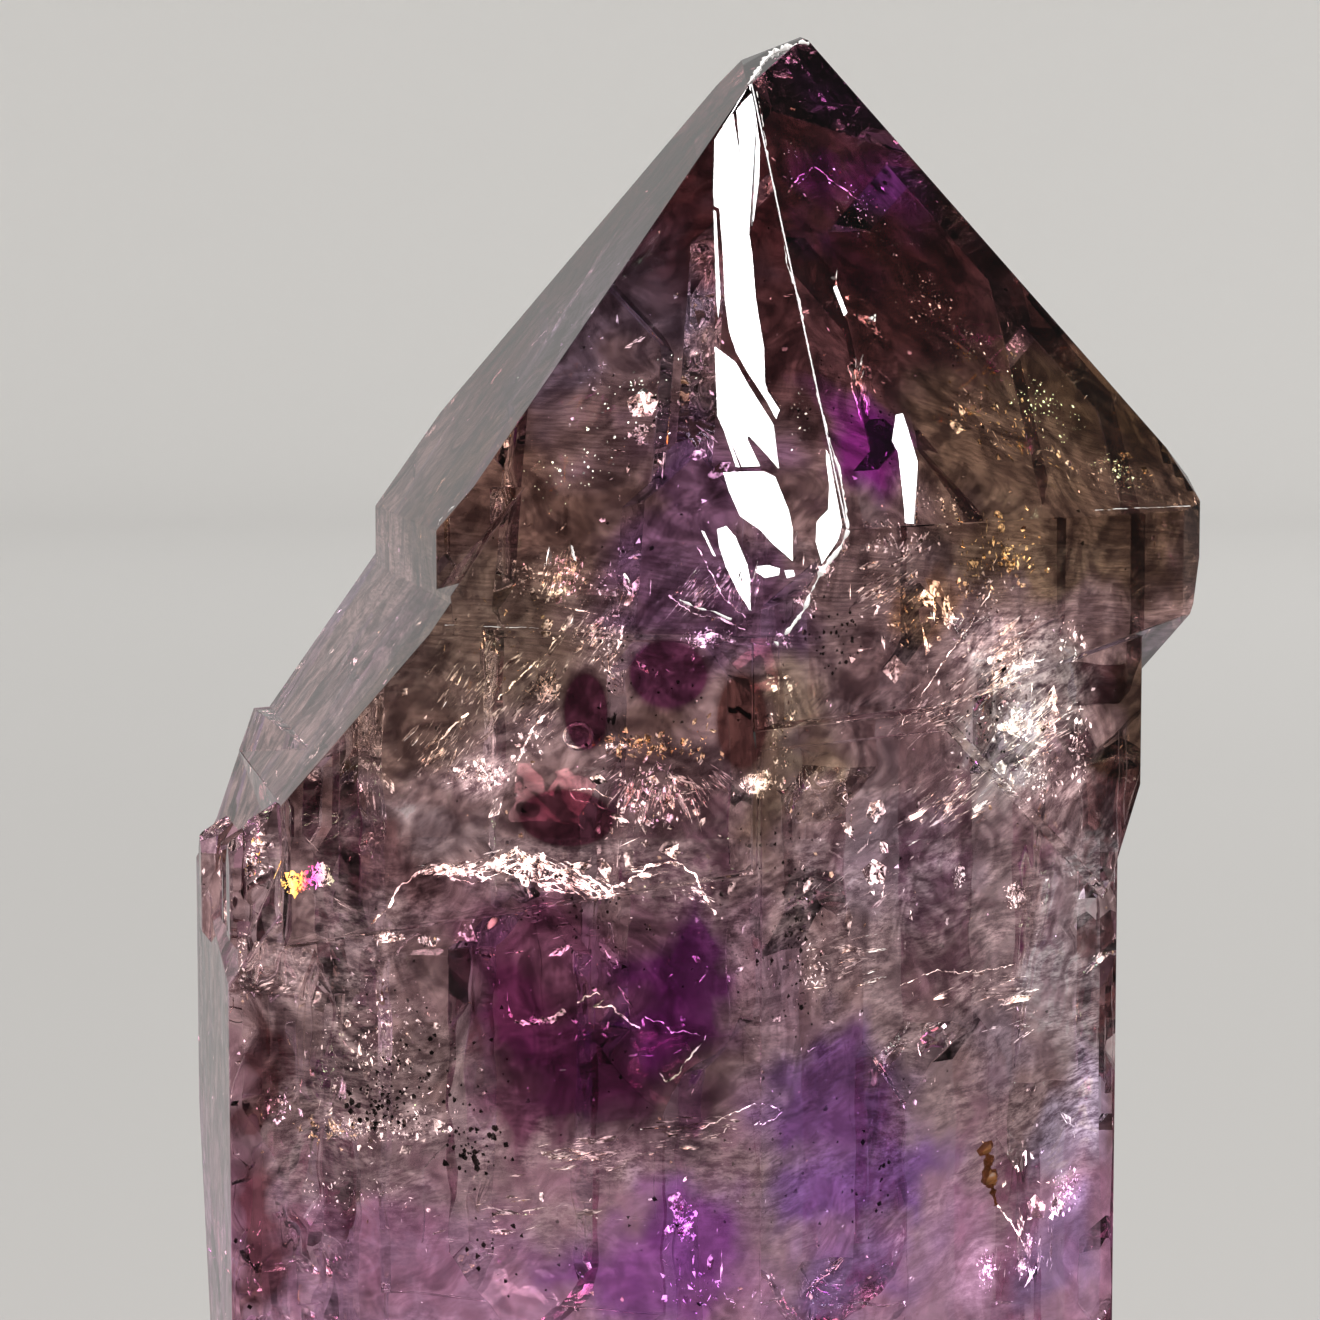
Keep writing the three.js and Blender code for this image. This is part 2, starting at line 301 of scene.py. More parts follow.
class NodeSheet:
    """A tree of nodes, of a material or of a shape."""

    def __init__(self, tree):
        self.tree = tree

    def node(self, kind, settings=None, values=(), output=0):
        """Adds a node, with its settings first and then the values or wires of its sockets."""
        node = self.tree.nodes.new(kind)
        for key, value in (settings or {}).items():
            if key == "stops":
                while len(node.color_ramp.elements) < len(value):
                    node.color_ramp.elements.new(0.5)
                for stop, (place, colour) in zip(node.color_ramp.elements, value):
                    stop.position = place
                    stop.color = (*colour, 1)
            else:
                setattr(node, key, value)
        pairs = values.items() if isinstance(values, dict) else enumerate(values)
        for key, value in pairs:
            if isinstance(value, Wire):
                self.tree.links.new(value.socket, node.inputs[key])
            else:
                socket = node.inputs[key]
                if socket.type == "RGBA" and len(value) == 3:
                    value = (*value, 1)
                socket.default_value = value
        return Wire(self, node.outputs[output])

    def noise(self, place, scale, detail=2.0, rough=0.5, output="Fac"):
        """Soft random values of about half, that change over 1/scale metres."""
        values = {"Vector": place, "Scale": scale, "Detail": detail, "Roughness": rough}
        return self.node("ShaderNodeTexNoise", None, values, output)

    def between(self, value, low, high, first=0.0, last=1.0):
        """First below low, last above high, and a smooth change in between."""
        reach = {"From Min": low, "From Max": high, "To Min": first, "To Max": last}
        settings = {"interpolation_type": "SMOOTHSTEP"}
        return self.node("ShaderNodeMapRange", settings, {"Value": value, **reach})

    def length(self, vector):
        """How long a vector is."""
        return self.node("ShaderNodeVectorMath", {"operation": "LENGTH"}, [vector], "Value")

    def along(self, vector, way):
        """How far a vector reaches in a direction, or how alike two vectors are."""
        settings = {"operation": "DOT_PRODUCT"}
        return self.node("ShaderNodeVectorMath", settings, [vector, way], "Value")

    def part(self, vector, axis):
        """The X, Y or Z of a vector."""
        return self.node("ShaderNodeSeparateXYZ", None, [vector], axis)

    def joined(self, x, y, z):
        """The vector with these three numbers."""
        return self.node("ShaderNodeCombineXYZ", None, [x, y, z])


class Recipe(NodeSheet):
    """The nodes of one material."""

    def __init__(self, name):
        self.material = bpy.data.materials.new(name)
        self.material.use_nodes = True
        super().__init__(self.material.node_tree)
        self.tree.nodes.clear()

    def place(self):
        """Where the shaded point is on the piece, in metres."""
        return self.node("ShaderNodeTexCoord", output="Object")

    def mix(self, share, first, second):
        """A colour that goes from first to second as share goes from 0 to 1."""
        values = {"Factor": share, 6: first, 7: second}
        return self.node("ShaderNodeMix", {"data_type": "RGBA"}, values, 2)

    def mottled(self, scale, detail, first, second):
        """A colour that wanders between two."""
        return self.mix(self.noise(self.place(), scale, detail), first, second)

    def within(self, place, centre, radii, soft=0.4, most=1.0):
        """Most in the middle of an egg shape of these radii, in mm, and 0 outside it."""
        scale = tuple(1 / (r * MM) for r in radii)
        shift = tuple(-c / r for c, r in zip(centre, radii))
        settings = {"operation": "MULTIPLY_ADD"}
        away = self.node("ShaderNodeVectorMath", settings, [place, scale, shift])
        return self.between(self.length(away), 1 - soft, 1 + soft, most, 0.0)

    def finish(self, values, inside=None):
        """The material with a surface of these values. Glowing plates are too small to be lamps."""
        surface = self.node("ShaderNodeBsdfPrincipled", None, values)
        out = self.tree.nodes.new("ShaderNodeOutputMaterial")
        self.tree.links.new(surface.socket, out.inputs["Surface"])
        if inside is not None:
            self.tree.links.new(inside.socket, out.inputs["Volume"])
        if "Emission Strength" in values:
            self.material.cycles.emission_sampling = "NONE"
        return self.material


QUARTZ_IOR = 1.544
quartz_faces = BVHTree.FromPolygons(
    [v.co for v in quartz_data.vertices], [p.vertices for p in quartz_data.polygons]
)


def inside(point, depth):
    """The place depth mm inside the crystal behind a point of the picture, as quartz bends light."""
    across, down = point
    place = None
    while place is None:
        sight = sight_to((across, down))
        place, face_normal, _, _ = quartz_faces.ray_cast(EYE, sight)
        across += (PICTURE_SIDE / 2 - across) / 300
        down += (PICTURE_SIDE / 2 - down) / 300
    shrink = 1 / QUARTZ_IOR
    slant = -sight.dot(face_normal)
    bend = shrink * slant - math.sqrt(1 - shrink**2 * (1 - slant**2))
    return place + (sight * shrink + face_normal * bend) * (depth * MM)


# Broad zones of colour: the middle and the radii in mm, the tint and how fully it takes over.
BROAD_ZONES = (
    ((-1, -3, 15), (30, 26, 5), (0.66, 0.29, 0.52), 0.8),  # mauve foot
    ((0, 0, 59), (40, 40, 14), (0.048, 0.009, 0.011), 0.99),  # smoke in the tip
    ((16, -8, 47), (8, 24, 5), (0.08, 0.042, 0.018), 0.95),  # olive smoke to the right
    ((-8, -12, 46.5), (7, 14, 4.5), (0.068, 0.03, 0.018), 0.95),  # brown smoke to the left
    ((-4, -8, 54.5), (5.5, 12, 4.5), (0.07, 0.052, 0.095), 0.9),  # blue-grey by the left edge
    ((-1.5, -8, 49.5), (4, 12, 3), (0.15, 0.085, 0.088), 0.7),
    ((7.6, -6, 61), (3.2, 9, 5), (0.14, 0.003, 0.17), 0.97),  # violet beside the apex
    ((0.3, -14, 44.8), (3.4, 9, 4.2), (0.08, 0.022, 0.095), 0.9),  # violet under the glint
    ((4, 14, 30), (7, 9, 6), (0.1, 0.01, 0.075), 0.8),  # violet in the back
)
# Zones near the front: the point of the picture in their middle, how far they reach across and
# up in mm, and the tint.
FRONT_ZONES = (
    ((470, 645), (4.2, 3.2), (0.09, 0.058, 0.034)),  # olive smoke in the left of the neck
    ((400, 720), (2, 2), (0.1, 0.055, 0.038)),
    ((335, 800), (2, 1.8), (0.04, 0.014, 0.012)),
    ((440, 832), (2.2, 0.9), (0.6, 0.48, 0.5)),
    ((665, 790), (2.4, 1.8), (0.12, 0.062, 0.06)),
    ((640, 740), (1.8, 1.1), (0.07, 0.034, 0.028)),
    ((900, 290), (3.2, 3.6), (0.02, 0.003, 0.003)),  # the darkest smoke, right of the ridge
    ((1050, 410), (2.6, 2), (0.14, 0.085, 0.038)),
    ((785, 760), (1.1, 4.2), (0.25, 0.17, 0.09)),  # olive column below the ridge
    ((875, 695), (2.6, 2.8), (0.13, 0.064, 0.072)),
    ((938, 612), (0.9, 1.1), (0.42, 0.185, 0.08)),  # tan lens
    ((866, 437), (1.7, 2), (0.15, 0.001, 0.17)),  # violet, by the ridge
    ((1030, 555), (4.6, 1.4), (0.17, 0.105, 0.048)),
    ((1020, 715), (2.2, 2.8), (0.85, 0.85, 0.75)),  # clear under the right cloud
    ((1128, 720), (0.9, 4.2), (0.04, 0.022, 0.007)),  # dark right edge
    ((905, 860), (2.8, 2.4), (0.43, 0.3, 0.37)),
    ((1085, 960), (1.8, 4.6), (1, 0.9, 0.95)),
    ((370, 880), (2.2, 1.3), (0.085, 0.028, 0.032)),
    ((490, 925), (3.2, 1.3), (0.16, 0.044, 0.105)),
    ((565, 1000), (6, 4.6), (0.08, 0.008, 0.04)),  # deep violet heart
    ((520, 1105), (2.4, 1.2), (0.12, 0.02, 0.055)),
    ((500, 1015), (2.4, 2.3), (0.042, 0.0014, 0.02)),
    ((620, 1072), (4.4, 2.5), (0.014, 0.0001, 0.008)),
    ((685, 985), (1.9, 2.6), (0.05, 0.0006, 0.055)),
    ((770, 970), (1.4, 3.4), (0.24, 0.115, 0.17)),
    ((370, 1050), (2.6, 2.4), (0.24, 0.155, 0.145)),
    ((264, 1070), (1, 3.6), (0.042, 0.008, 0.008)),  # dark red-brown by the left edge
    ((262, 1232), (1.5, 3.2), (0.078, 0.009, 0.012)),
    ((390, 1240), (2.8, 1.8), (0.32, 0.12, 0.22)),
    ((640, 1152), (3.6, 1), (0.24, 0.12, 0.15)),
    ((640, 1285), (3.4, 1.8), (0.24, 0.04, 0.34)),  # violet at the foot
    ((700, 1235), (2.4, 2.2), (0.2, 0.022, 0.32)),
    ((835, 1095), (3.4, 2.2), (0.13, 0.026, 0.26)),  # lavender, lower right
    ((865, 1180), (3, 1.7), (0.2, 0.056, 0.44)),
    ((850, 1275), (2.8, 1.6), (0.34, 0.15, 0.56)),
    ((1000, 1050), (2.2, 1.8), (0.22, 0.15, 0.2)),
    ((1082, 1115), (1.6, 2), (0.7, 0.6, 0.95)),
    ((1060, 1265), (2.2, 1.8), (0.36, 0.2, 0.52)),
)
# Pockets of darker quartz with smooth outlines, given in the same way.
POCKETS = (
    ((668, 674), (1.6, 1.35), (0.032, 0.003, 0.017)),
    ((742, 722), (1, 1.9), (0.05, 0.012, 0.01)),
    ((586, 712), (0.9, 1.6), (0.02, 0.002, 0.007)),
    ((566, 818), (2, 1.2), (0.018, 0.0022, 0.005)),
)
ZONE_DEPTH = 7.0
ZONE_SOFTNESS = 0.4
FRONT_SHARE = 0.96
FRONT_STRAY = 0.6
POCKET_SOFTNESS = 0.16
BASE_TINT = Vector((0.38, 0.24, 0.24))
CALM_ZONE = (Vector((6, -4, 18)), (22, 26, 9))
DRIFT = 2.6 * MM
DRIFT_WAVES = ((200, 1.0), (420, 0.8), (900, 0.6))
DRIFT_SHIFT = Vector((90.42, 55.78, 33.96))


def share_within(place, centre, radii, most=1.0):
    """Most in the middle of an egg shape of these radii, in mm, and 0 outside it."""
    away = Vector((p / MM - c) / r for p, c, r in zip(place, centre, radii)).length
    if away > 1 + ZONE_SOFTNESS:
        return 0.0
    step = min((1 + ZONE_SOFTNESS - away) / (2 * ZONE_SOFTNESS), 1)
    return most * step * step * (3 - 2 * step)


def drift_at(place):
    """How far a zone's edge strays at a place."""
    stray = Vector((0, 0, 0))
    for scale, share in DRIFT_WAVES:
        for axis in range(3):
            stray[axis] += noise.noise(place * scale + DRIFT_SHIFT * (axis + 1)) * share
    return stray * DRIFT


def paint_zones(data):
    """Gives each corner of the mesh its tint, and how calm the quartz is there."""
    zones = [
        (inside(point, 0) / MM, (across, ZONE_DEPTH, up), Vector(colour))
        for point, (across, up), colour in FRONT_ZONES
    ]
    layer = data.attributes.new("tint", "FLOAT_COLOR", "POINT")
    for corner, spot in zip(data.vertices, layer.data):
        stray = drift_at(corner.co)
        bent = corner.co + stray
        ragged = corner.co + stray * FRONT_STRAY
        tint = BASE_TINT
        for centre, radii, colour, strength in BROAD_ZONES:
            tint = tint.lerp(Vector(colour), share_within(bent, centre, radii, strength))
        for centre, radii, colour in zones:
            tint = tint.lerp(colour, share_within(ragged, centre, radii, FRONT_SHARE))
        spot.color = (*tint, share_within(bent, *CALM_ZONE))


NECK = (40 * MM, 46 * MM)  # the heights between which the stem's look gives way to the tip's
STREAK_WAY = (0.72, 0, 0.69)
ACROSS_STREAKS = (0.69, 0, -0.72)
GRAIN_HEIGHT = 0.8 * MM
SMOKE = {"Color": (0.84, 0.76, 0.84), "Density": 12.0}


def amethyst():
    """Clear quartz, tinted in zones, streaked with smoke, with a rougher back; its side walls at the
    back get a paler tint that is painted light.
    """
    quartz = Recipe("amethyst")
    place = quartz.place()
    drift = quartz.noise(place, 200, 1, 0.6, "Color") - (0.5, 0.5, 0.5)
    bent = place + drift * (0.013, 0.013, 0.013)
    tint = quartz.node("ShaderNodeAttribute", {"attribute_name": "tint"}, output="Color")
    calm = quartz.node("ShaderNodeAttribute", {"attribute_name": "tint"}, output="Alpha")
    for point, (across, up), colour in POCKETS:
        radii = (across, ZONE_DEPTH, up)
        share = quartz.within(place, inside(point, 0) / MM, radii, POCKET_SOFTNESS)
        tint = quartz.mix(share, tint, colour)
    away = quartz.node("ShaderNodeNewGeometry", output="Normal")
    behind = quartz.between(quartz.part(away, "Y"), -0.16, 0.08)
    sideways = quartz.part(away, "X")
    body = 1 - quartz.between(quartz.part(place, "Z"), *NECK)
    patches = quartz.between(quartz.noise(bent, 430, 2, 0.66), 0.38, 0.62)
    through = quartz.part(bent, "Y")
    fibres = quartz.mix(body, (1.0, 0.16, 1.0), (0.16, 1.0, 1.0))
    rise = quartz.along(bent, STREAK_WAY)
    laid = quartz.joined(rise, quartz.along(bent, ACROSS_STREAKS), through * 0.6) * fibres
    streaks = quartz.between(quartz.noise(laid, 1100, 2, 0.6), 0.36, 0.64)
    shade = quartz.mix(patches, (0.36, 0.31, 0.33), (1.8, 1.85, 1.8))
    shade = shade * quartz.mix(streaks, (0.62, 0.56, 0.57), (1.4, 1.4, 1.4))
    tint = tint * quartz.mix(calm * 0.65, shade, (1.0, 1.0, 1.0))
    # Painted light: a paler tint on the side walls at the back lightens the dark bars seen through
    # them.
    walls = quartz.between(sideways * sideways, 0.25, 0.5) * quartz.between(through, 6 * MM, 9 * MM)
    tint = quartz.mix(walls * body * 0.6, tint, (0.62, 0.50, 0.56))
    relief = quartz.noise(place, 300, 1, 0.7) * (0.004 + 1.3 * behind + 0.07 * body)
    bump = {"Strength": 1.0, "Distance": GRAIN_HEIGHT, "Height": relief}
    return quartz.finish(
        {
            "Base Color": tint,
            "Roughness": 0.0,
            "IOR": QUARTZ_IOR,
            "Transmission Weight": 1.0,
            "Normal": quartz.node("ShaderNodeBump", None, bump),
        },
        quartz.node("ShaderNodeVolumeAbsorption", None, SMOKE),
    )


paint_zones(quartz_data)
quartz_data.materials.append(amethyst())
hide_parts("amethyst_crystal")
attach(crystal, "root")


# Bright breaks inside the quartz
# Old cracks that healed are full of thin plates of gas. Each plate mirrors the lamps and also
# glows in patches with painted light, so the crystal glitters where they crowd: silver in most
# places, golden or rose in the smoke.
class Growth(NodeSheet):
    """The nodes of one kind of shape, with named inputs for its sizes."""

    def __init__(self, name, **inputs):
        super().__init__(bpy.data.node_groups.new(name, "GeometryNodeTree"))
        sockets = self.tree.interface
        sockets.new_socket("Shape", in_out="INPUT", socket_type="NodeSocketGeometry")
        sockets.new_socket("Shape", in_out="OUTPUT", socket_type="NodeSocketGeometry")
        self.identifiers = {}
        for kind, titles in inputs.items():
            for title in titles.split():
                socket = sockets.new_socket(
                    title, in_out="INPUT", socket_type=f"NodeSocket{kind}"
                )
                self.identifiers[title] = socket.identifier
        self.given = self.tree.nodes.new("NodeGroupInput")

    def __getitem__(self, title):
        return Wire(self, self.given.outputs[title])

    def random(self, low, high, seed):
        """A random number between low and high for each point, or three of them."""
        kind, first, output = "FLOAT", 2, 1
        if isinstance(low, tuple):
            kind, first, output = "FLOAT_VECTOR", 0, 0
        elif isinstance(low, int):
            kind, first, output = "INT", 4, 2
        values = {first: low, first + 1: high, "Seed": seed}
        return self.node("FunctionNodeRandomValue", {"data_type": kind}, values, output)

    def without(self, points, value, operation, limit):
        """The points, less those whose value is GREATER_THAN or LESS_THAN the limit."""
        picked = self.node("FunctionNodeCompare", {"operation": operation}, [value, limit])
        values = {0: points, "Selection": picked}
        return self.node("GeometryNodeDeleteGeometry", {"domain": "POINT"}, values)

    def finish(self, shape):
        real = self.node("GeometryNodeRealizeInstances", None, [shape])
        values = {0: real, "Material": self["Material"]}
        dressed = self.node("GeometryNodeSetMaterial", None, values)
        out = self.tree.nodes.new("NodeGroupOutput")
        self.tree.links.new(dressed.socket, out.inputs[0])

    def grow(self, collected, carrier, **sizes):
        """Adds to the bmesh collected the shape that carrier takes with these sizes."""
        modifier = carrier.modifiers.new("growth", "NODES")
        modifier.node_group = self.tree
        for title, value in sizes.items():
            modifier[self.identifiers[title]] = value
        bpy.context.view_layer.update()
        graph = bpy.context.evaluated_depsgraph_get()
        made = bpy.data.meshes.new_from_object(carrier.evaluated_get(graph), depsgraph=graph)
        collected.from_mesh(made)
        bpy.data.meshes.remove(made)
        carrier.modifiers.remove(modifier)


def finished_piece(name, collected, material):
    """The collected mesh as one piece of the crystal."""
    data = bpy.data.meshes.new(name)
    collected.to_mesh(data)
    collected.free()
    data.materials.append(material)
    piece = shown(name, data)
    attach(piece, "root")
    return piece


def plate_cloud():
    """The tree of a cloud of small plates, kept a little inside the crystal."""
    cloud = Growth(
        "plate_cloud",
        Object="Crystal",
        Int="Count Seed",
        Vector="Middle Radii Lean",
        Float="Smallest Largest Flatness Slimness Margin Spread",
        Material="Material",
    )
    seed = cloud["Seed"]
    scatter = cloud.random((-1, -1, -1), (1, 1, 1), seed)
    values = {"Count": cloud["Count"], "Position": scatter}
    points = cloud.node("GeometryNodePoints", None, values)
    spot = cloud.node("GeometryNodeInputPosition")
    ball = cloud.without(points, cloud.length(spot), "GREATER_THAN", 1.0)
    crowded = spot * cloud.length(spot) ** 0.6
    position = crowded * cloud["Radii"] + cloud["Middle"]
    placed = cloud.node("GeometryNodeSetPosition", None, {0: ball, "Position": position})
    quartz = cloud.node("GeometryNodeObjectInfo", None, {0: cloud["Crystal"]}, "Geometry")
    nearest = cloud.node("GeometryNodeProximity", {"target_element": "FACES"}, {0: quartz})
    face_normal = cloud.node(
        "GeometryNodeSampleNearestSurface",
        {"data_type": "FLOAT_VECTOR"},
        {0: quartz, "Value": cloud.node("GeometryNodeInputNormal")},
    )
    depth = cloud.along(nearest - spot, face_normal)
    kept = cloud.without(placed, depth, "LESS_THAN", cloud["Margin"])
    shards = cloud.node("GeometryNodeJoinGeometry")
    for corners in (3, 4, 5):
        shape = {"Vertices": corners, "Radius Top": 0.35, "Radius Bottom": 1.0, "Depth": 1.0}
        shard = cloud.node("GeometryNodeMeshCone", None, shape)
        single = cloud.node("GeometryNodeGeometryToInstance", None, [shard])
        cloud.tree.links.new(single.socket, shards.socket.node.inputs[0])
    share = cloud.random(0.0, 1.0, seed + 1) ** 3.0
    size = cloud["Smallest"] + share * (cloud["Largest"] - cloud["Smallest"])
    slim = cloud.random(cloud["Slimness"], 1.0, seed + 2)
    sides = cloud.joined(1.0, slim, cloud["Flatness"])
    turned = cloud["Lean"] + cloud.random((-1, -1, -1), (1, 1, 1), seed + 3) * cloud["Spread"]
    plates = {
        "Points": kept,
        "Instance": shards,
        "Pick Instance": True,
        "Instance Index": cloud.random(0, 2, seed + 4),
        "Rotation": turned,
        "Scale": sides * size,
    }
    cloud.finish(cloud.node("GeometryNodeInstanceOnPoints", None, plates))
    return cloud


def bright_plate(name, first, second, glow, dull=0.46):
    """A thin film that mirrors what is round it, with a painted glow in patches of its own colour."""
    film = Recipe(name)
    colour = film.mottled(2600, 1, first, second)
    painted_glow_patch = film.between(film.noise(film.place(), 2600, 2, 0.7), dull, dull + 0.2)
    return film.finish(
        {
            "Base Color": colour,
            "Metallic": 1.0,
            "Roughness": 0.0,
            # Painted glints: the film glows in patches, though it is no lamp.
            "Emission Color": film.mix(painted_glow_patch, (0, 0, 0), colour),
            "Emission Strength": glow,
        }
    )


CLOUD = plate_cloud()
carrier = shown("carrier", bpy.data.meshes.new("carrier"))

# Each cloud: a point of the picture, its depth and radii in mm, how many plates, and the
# largest of them in mm.
SILVER_CLOUDS = (
    ((478, 776), 1, (1.5, 0.5, 0.6), 500, 0.24),
    ((530, 735), 0.9, (1, 0.5, 1.3), 160, 0.2),
    ((545, 690), 0.9, (0.7, 0.5, 0.6), 300, 0.24),
    ((612, 655), 1.4, (0.6, 0.6, 1.6), 200, 0.22),
    ((655, 800), 1.6, (1.9, 0.9, 1.3), 240, 0.2),
    ((1012, 668), 1, (2.2, 0.8, 1.2), 600, 0.18),
    ((1016, 722), 1, (2.2, 0.8, 0.9), 400, 0.18),
    ((1040, 775), 1, (2, 0.8, 1.1), 450, 0.18),
    ((985, 590), 1.4, (1.4, 1, 1.2), 160, 0.18),
    ((1080, 750), 1, (0.6, 0.6, 2.2), 320, 0.22),
    ((1015, 895), 1.2, (0.7, 0.7, 0.6), 320, 0.26),
    ((958, 875), 1.2, (0.4, 0.5, 0.6), 120, 0.22),
    ((905, 545), 1.2, (2.2, 0.8, 0.5), 300, 0.22),
    ((380, 1050), 1.2, (3, 1.2, 3.2), 900, 0.13),
    ((375, 1128), 0.9, (2.4, 0.7, 0.6), 800, 0.18),
    ((430, 1120), 1, (1.4, 0.8, 0.7), 200, 0.16),
    ((385, 1195), 1, (1.6, 0.8, 0.7), 160, 0.14),
    ((385, 936), 0.7, (0.7, 0.4, 0.3), 160, 0.24),
    ((428, 941), 0.7, (0.5, 0.3, 0.15), 120, 0.22),
    ((542, 1020), 0.5, (0.7, 0.2, 0.16), 120, 0.16),
    ((455, 872), 0.7, (1.1, 0.3, 0.3), 200, 0.18),
    ((535, 872), 0.7, (1.4, 0.3, 0.4), 120, 0.16),
    ((600, 893), 0.7, (0.9, 0.3, 0.3), 110, 0.16),
    ((330, 1195), 1, (1.2, 0.8, 1.4), 160, 0.13),
    ((535, 580), 1.1, (1.2, 0.7, 1), 260, 0.2),
    ((600, 590), 1.1, (1.2, 0.7, 1), 220, 0.2),
    ((705, 640), 0.6, (1, 0.3, 0.35), 260, 0.2),
    ((740, 575), 0.8, (1, 0.5, 1), 120, 0.2),
    ((640, 435), 1, (0.5, 0.4, 0.5), 160, 0.24),
    ((595, 375), 0.8, (0.8, 0.4, 0.8), 70, 0.22),
    ((780, 730), 0.8, (0.6, 0.5, 2.8), 260, 0.18),
    ((808, 970), 0.9, (1.2, 0.5, 1.6), 220, 0.18),
    ((255, 850), 0.6, (0.7, 0.6, 1.8), 400, 0.26),
    ((243, 960), 0.4, (0.3, 0.4, 1.6), 120, 0.2),
    ((762, 80), 0.3, (0.5, 0.4, 0.8), 220, 0.2),
    ((790, 58), 0.3, (0.8, 0.4, 0.4), 200, 0.2),
    ((843, 545), 0.3, (0.5, 0.3, 0.5), 160, 0.2),
    ((826, 570), 0.3, (0.5, 0.3, 0.6), 180, 0.22),
    ((810, 600), 0.3, (0.5, 0.3, 0.6), 140, 0.2),
    ((785, 640), 0.3, (0.6, 0.3, 0.3), 120, 0.2),
    ((940, 500), 0.8, (1.6, 0.6, 0.8), 160, 0.2),
    ((1100, 480), 0.8, (1.6, 0.6, 1), 140, 0.16),
    ((1075, 640), 0.8, (0.9, 0.5, 1), 120, 0.2),
    ((757, 783), 0.4, (0.55, 0.3, 0.45), 420, 0.26),
)
GOLD_CLOUDS = (
    ((905, 610), 1.4, (0.9, 0.8, 1.6), 110, 0.18),
    ((965, 590), 1.4, (0.5, 0.8, 1.6), 110, 0.18),
    ((1010, 560), 1.4, (2.8, 1, 1.4), 420, 0.28),
    ((505, 620), 1.2, (2, 0.8, 2), 110, 0.2),
    ((640, 745), 0.9, (2, 0.6, 0.6), 260, 0.24),
    ((700, 745), 1.2, (0.9, 0.6, 1), 90, 0.2),
    ((330, 1130), 1.4, (1.6, 0.8, 0.6), 120, 0.26),
    ((1010, 425), 1.2, (3.6, 1, 2.4), 320, 0.24),
    ((1130, 470), 1, (1.6, 1, 1.2), 120, 0.26),
)
ROSE_CLOUDS = (
    ((1066, 1190), 1.2, (0.9, 0.6, 1), 420, 0.2),
    ((985, 1272), 1.3, (0.6, 0.5, 1), 300, 0.2),
    ((684, 1222), 1.3, (0.5, 0.5, 0.9), 260, 0.2),
    ((1020, 1255), 1.8, (1.3, 0.8, 1), 100, 0.26),
    ((650, 790), 1.6, (1.4, 0.9, 1.4), 180, 0.26),
    ((700, 1290), 2, (2.4, 1, 1), 120, 0.26),
    ((565, 575), 1, (0.9, 0.5, 1.3), 260, 0.24),
    ((255, 1260), 0.8, (0.8, 0.8, 1.6), 90, 0.26),
    ((280, 1105), 1, (1, 0.8, 0.9), 90, 0.26),
)

ANY_WAY = math.pi


def fill_with_plates(
    name, clouds, material, seed, strewn=0, smallest=0.03, flatness=0.12, slimness=0.12,
    margin=0.06, lean=0.0, spread=ANY_WAY,
):
    """One piece of all its clouds, with some plates strewn through the whole crystal."""
    collected = bmesh.new()
    low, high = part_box("amethyst_crystal")
    places = [((low + high) / 2, (high - low) / 2, strewn, clouds[0][-1])] + [
        (inside(point, depth), Vector(radii) * MM, count, largest)
        for point, depth, radii, count, largest in clouds
    ]
    for number, (middle, radii, count, largest) in enumerate(places):
        CLOUD.grow(
            collected,
            carrier,
            Crystal=crystal,
            Count=count,
            Middle=middle,
            Radii=radii,
            Smallest=smallest * MM,
            Largest=largest * MM,
            Flatness=flatness,
            Slimness=slimness,
            Margin=margin * MM,
            Lean=(0, -math.radians(lean), 0),
            Spread=spread,
            Seed=seed + 10 * number,
            Material=material,
        )
    return finished_piece(name, collected, material)


# The last number of each film is the strength of its painted glow.
silver_film = bright_plate("silver_film", (1.0, 0.98, 0.95), (0.97, 0.88, 0.88), 3.2)
golden_film = bright_plate("golden_film", (1.0, 0.88, 0.58), (0.92, 0.66, 0.46), 3.0)
rose_film = bright_plate("rose_film", (1.0, 0.80, 0.88), (0.95, 0.72, 1.0), 5.0)
fill_with_plates("silver_breaks", SILVER_CLOUDS, silver_film, seed=100, strewn=1500)
fill_with_plates("golden_breaks", GOLD_CLOUDS, golden_film, seed=2100, strewn=500)
fill_with_plates("rose_breaks", ROSE_CLOUDS, rose_film, seed=4100, strewn=400)

# Splinters are long thin breaks. They show as fine bright strokes.
SPLINTERS = (
    ((600, 620), 1.2, (4, 1, 3), 60, 0.9),
    ((660, 800), 1.6, (3, 1.2, 2.4), 70, 0.8),
    ((930, 620), 1.4, (4.4, 1.2, 3), 80, 0.9),
    ((1030, 720), 1.4, (2.6, 1.4, 4), 70, 0.9),
    ((560, 870), 1, (6, 0.6, 0.8), 90, 0.6),
    ((560, 1010), 1.4, (4, 1, 1.4), 40, 0.6),
    ((370, 1080), 1.4, (3.4, 1.2, 4), 80, 0.4),
    ((880, 860), 1.6, (4, 1.4, 3), 50, 0.8),
    ((660, 430), 1.2, (3, 0.8, 4), 40, 0.8),
    ((860, 330), 1, (1.6, 0.7, 5), 40, 0.9),
    ((1020, 430), 1.2, (4.4, 0.9, 2.4), 50, 0.7),
    ((1020, 1220), 1.4, (3, 1, 3), 40, 0.8),
    ((690, 1220), 1.4, (2, 1, 3), 30, 0.7),
)
fill_with_plates(
    "splinters",
    SPLINTERS,
    # This film glows with painted light, as the other plates do.
    bright_plate("splinter_film", (1.0, 0.97, 0.93), (1.0, 0.86, 0.78), 5.0),
    seed=6000,
    strewn=160,
    smallest=0.15,
    flatness=0.02,
    slimness=0.015,
)
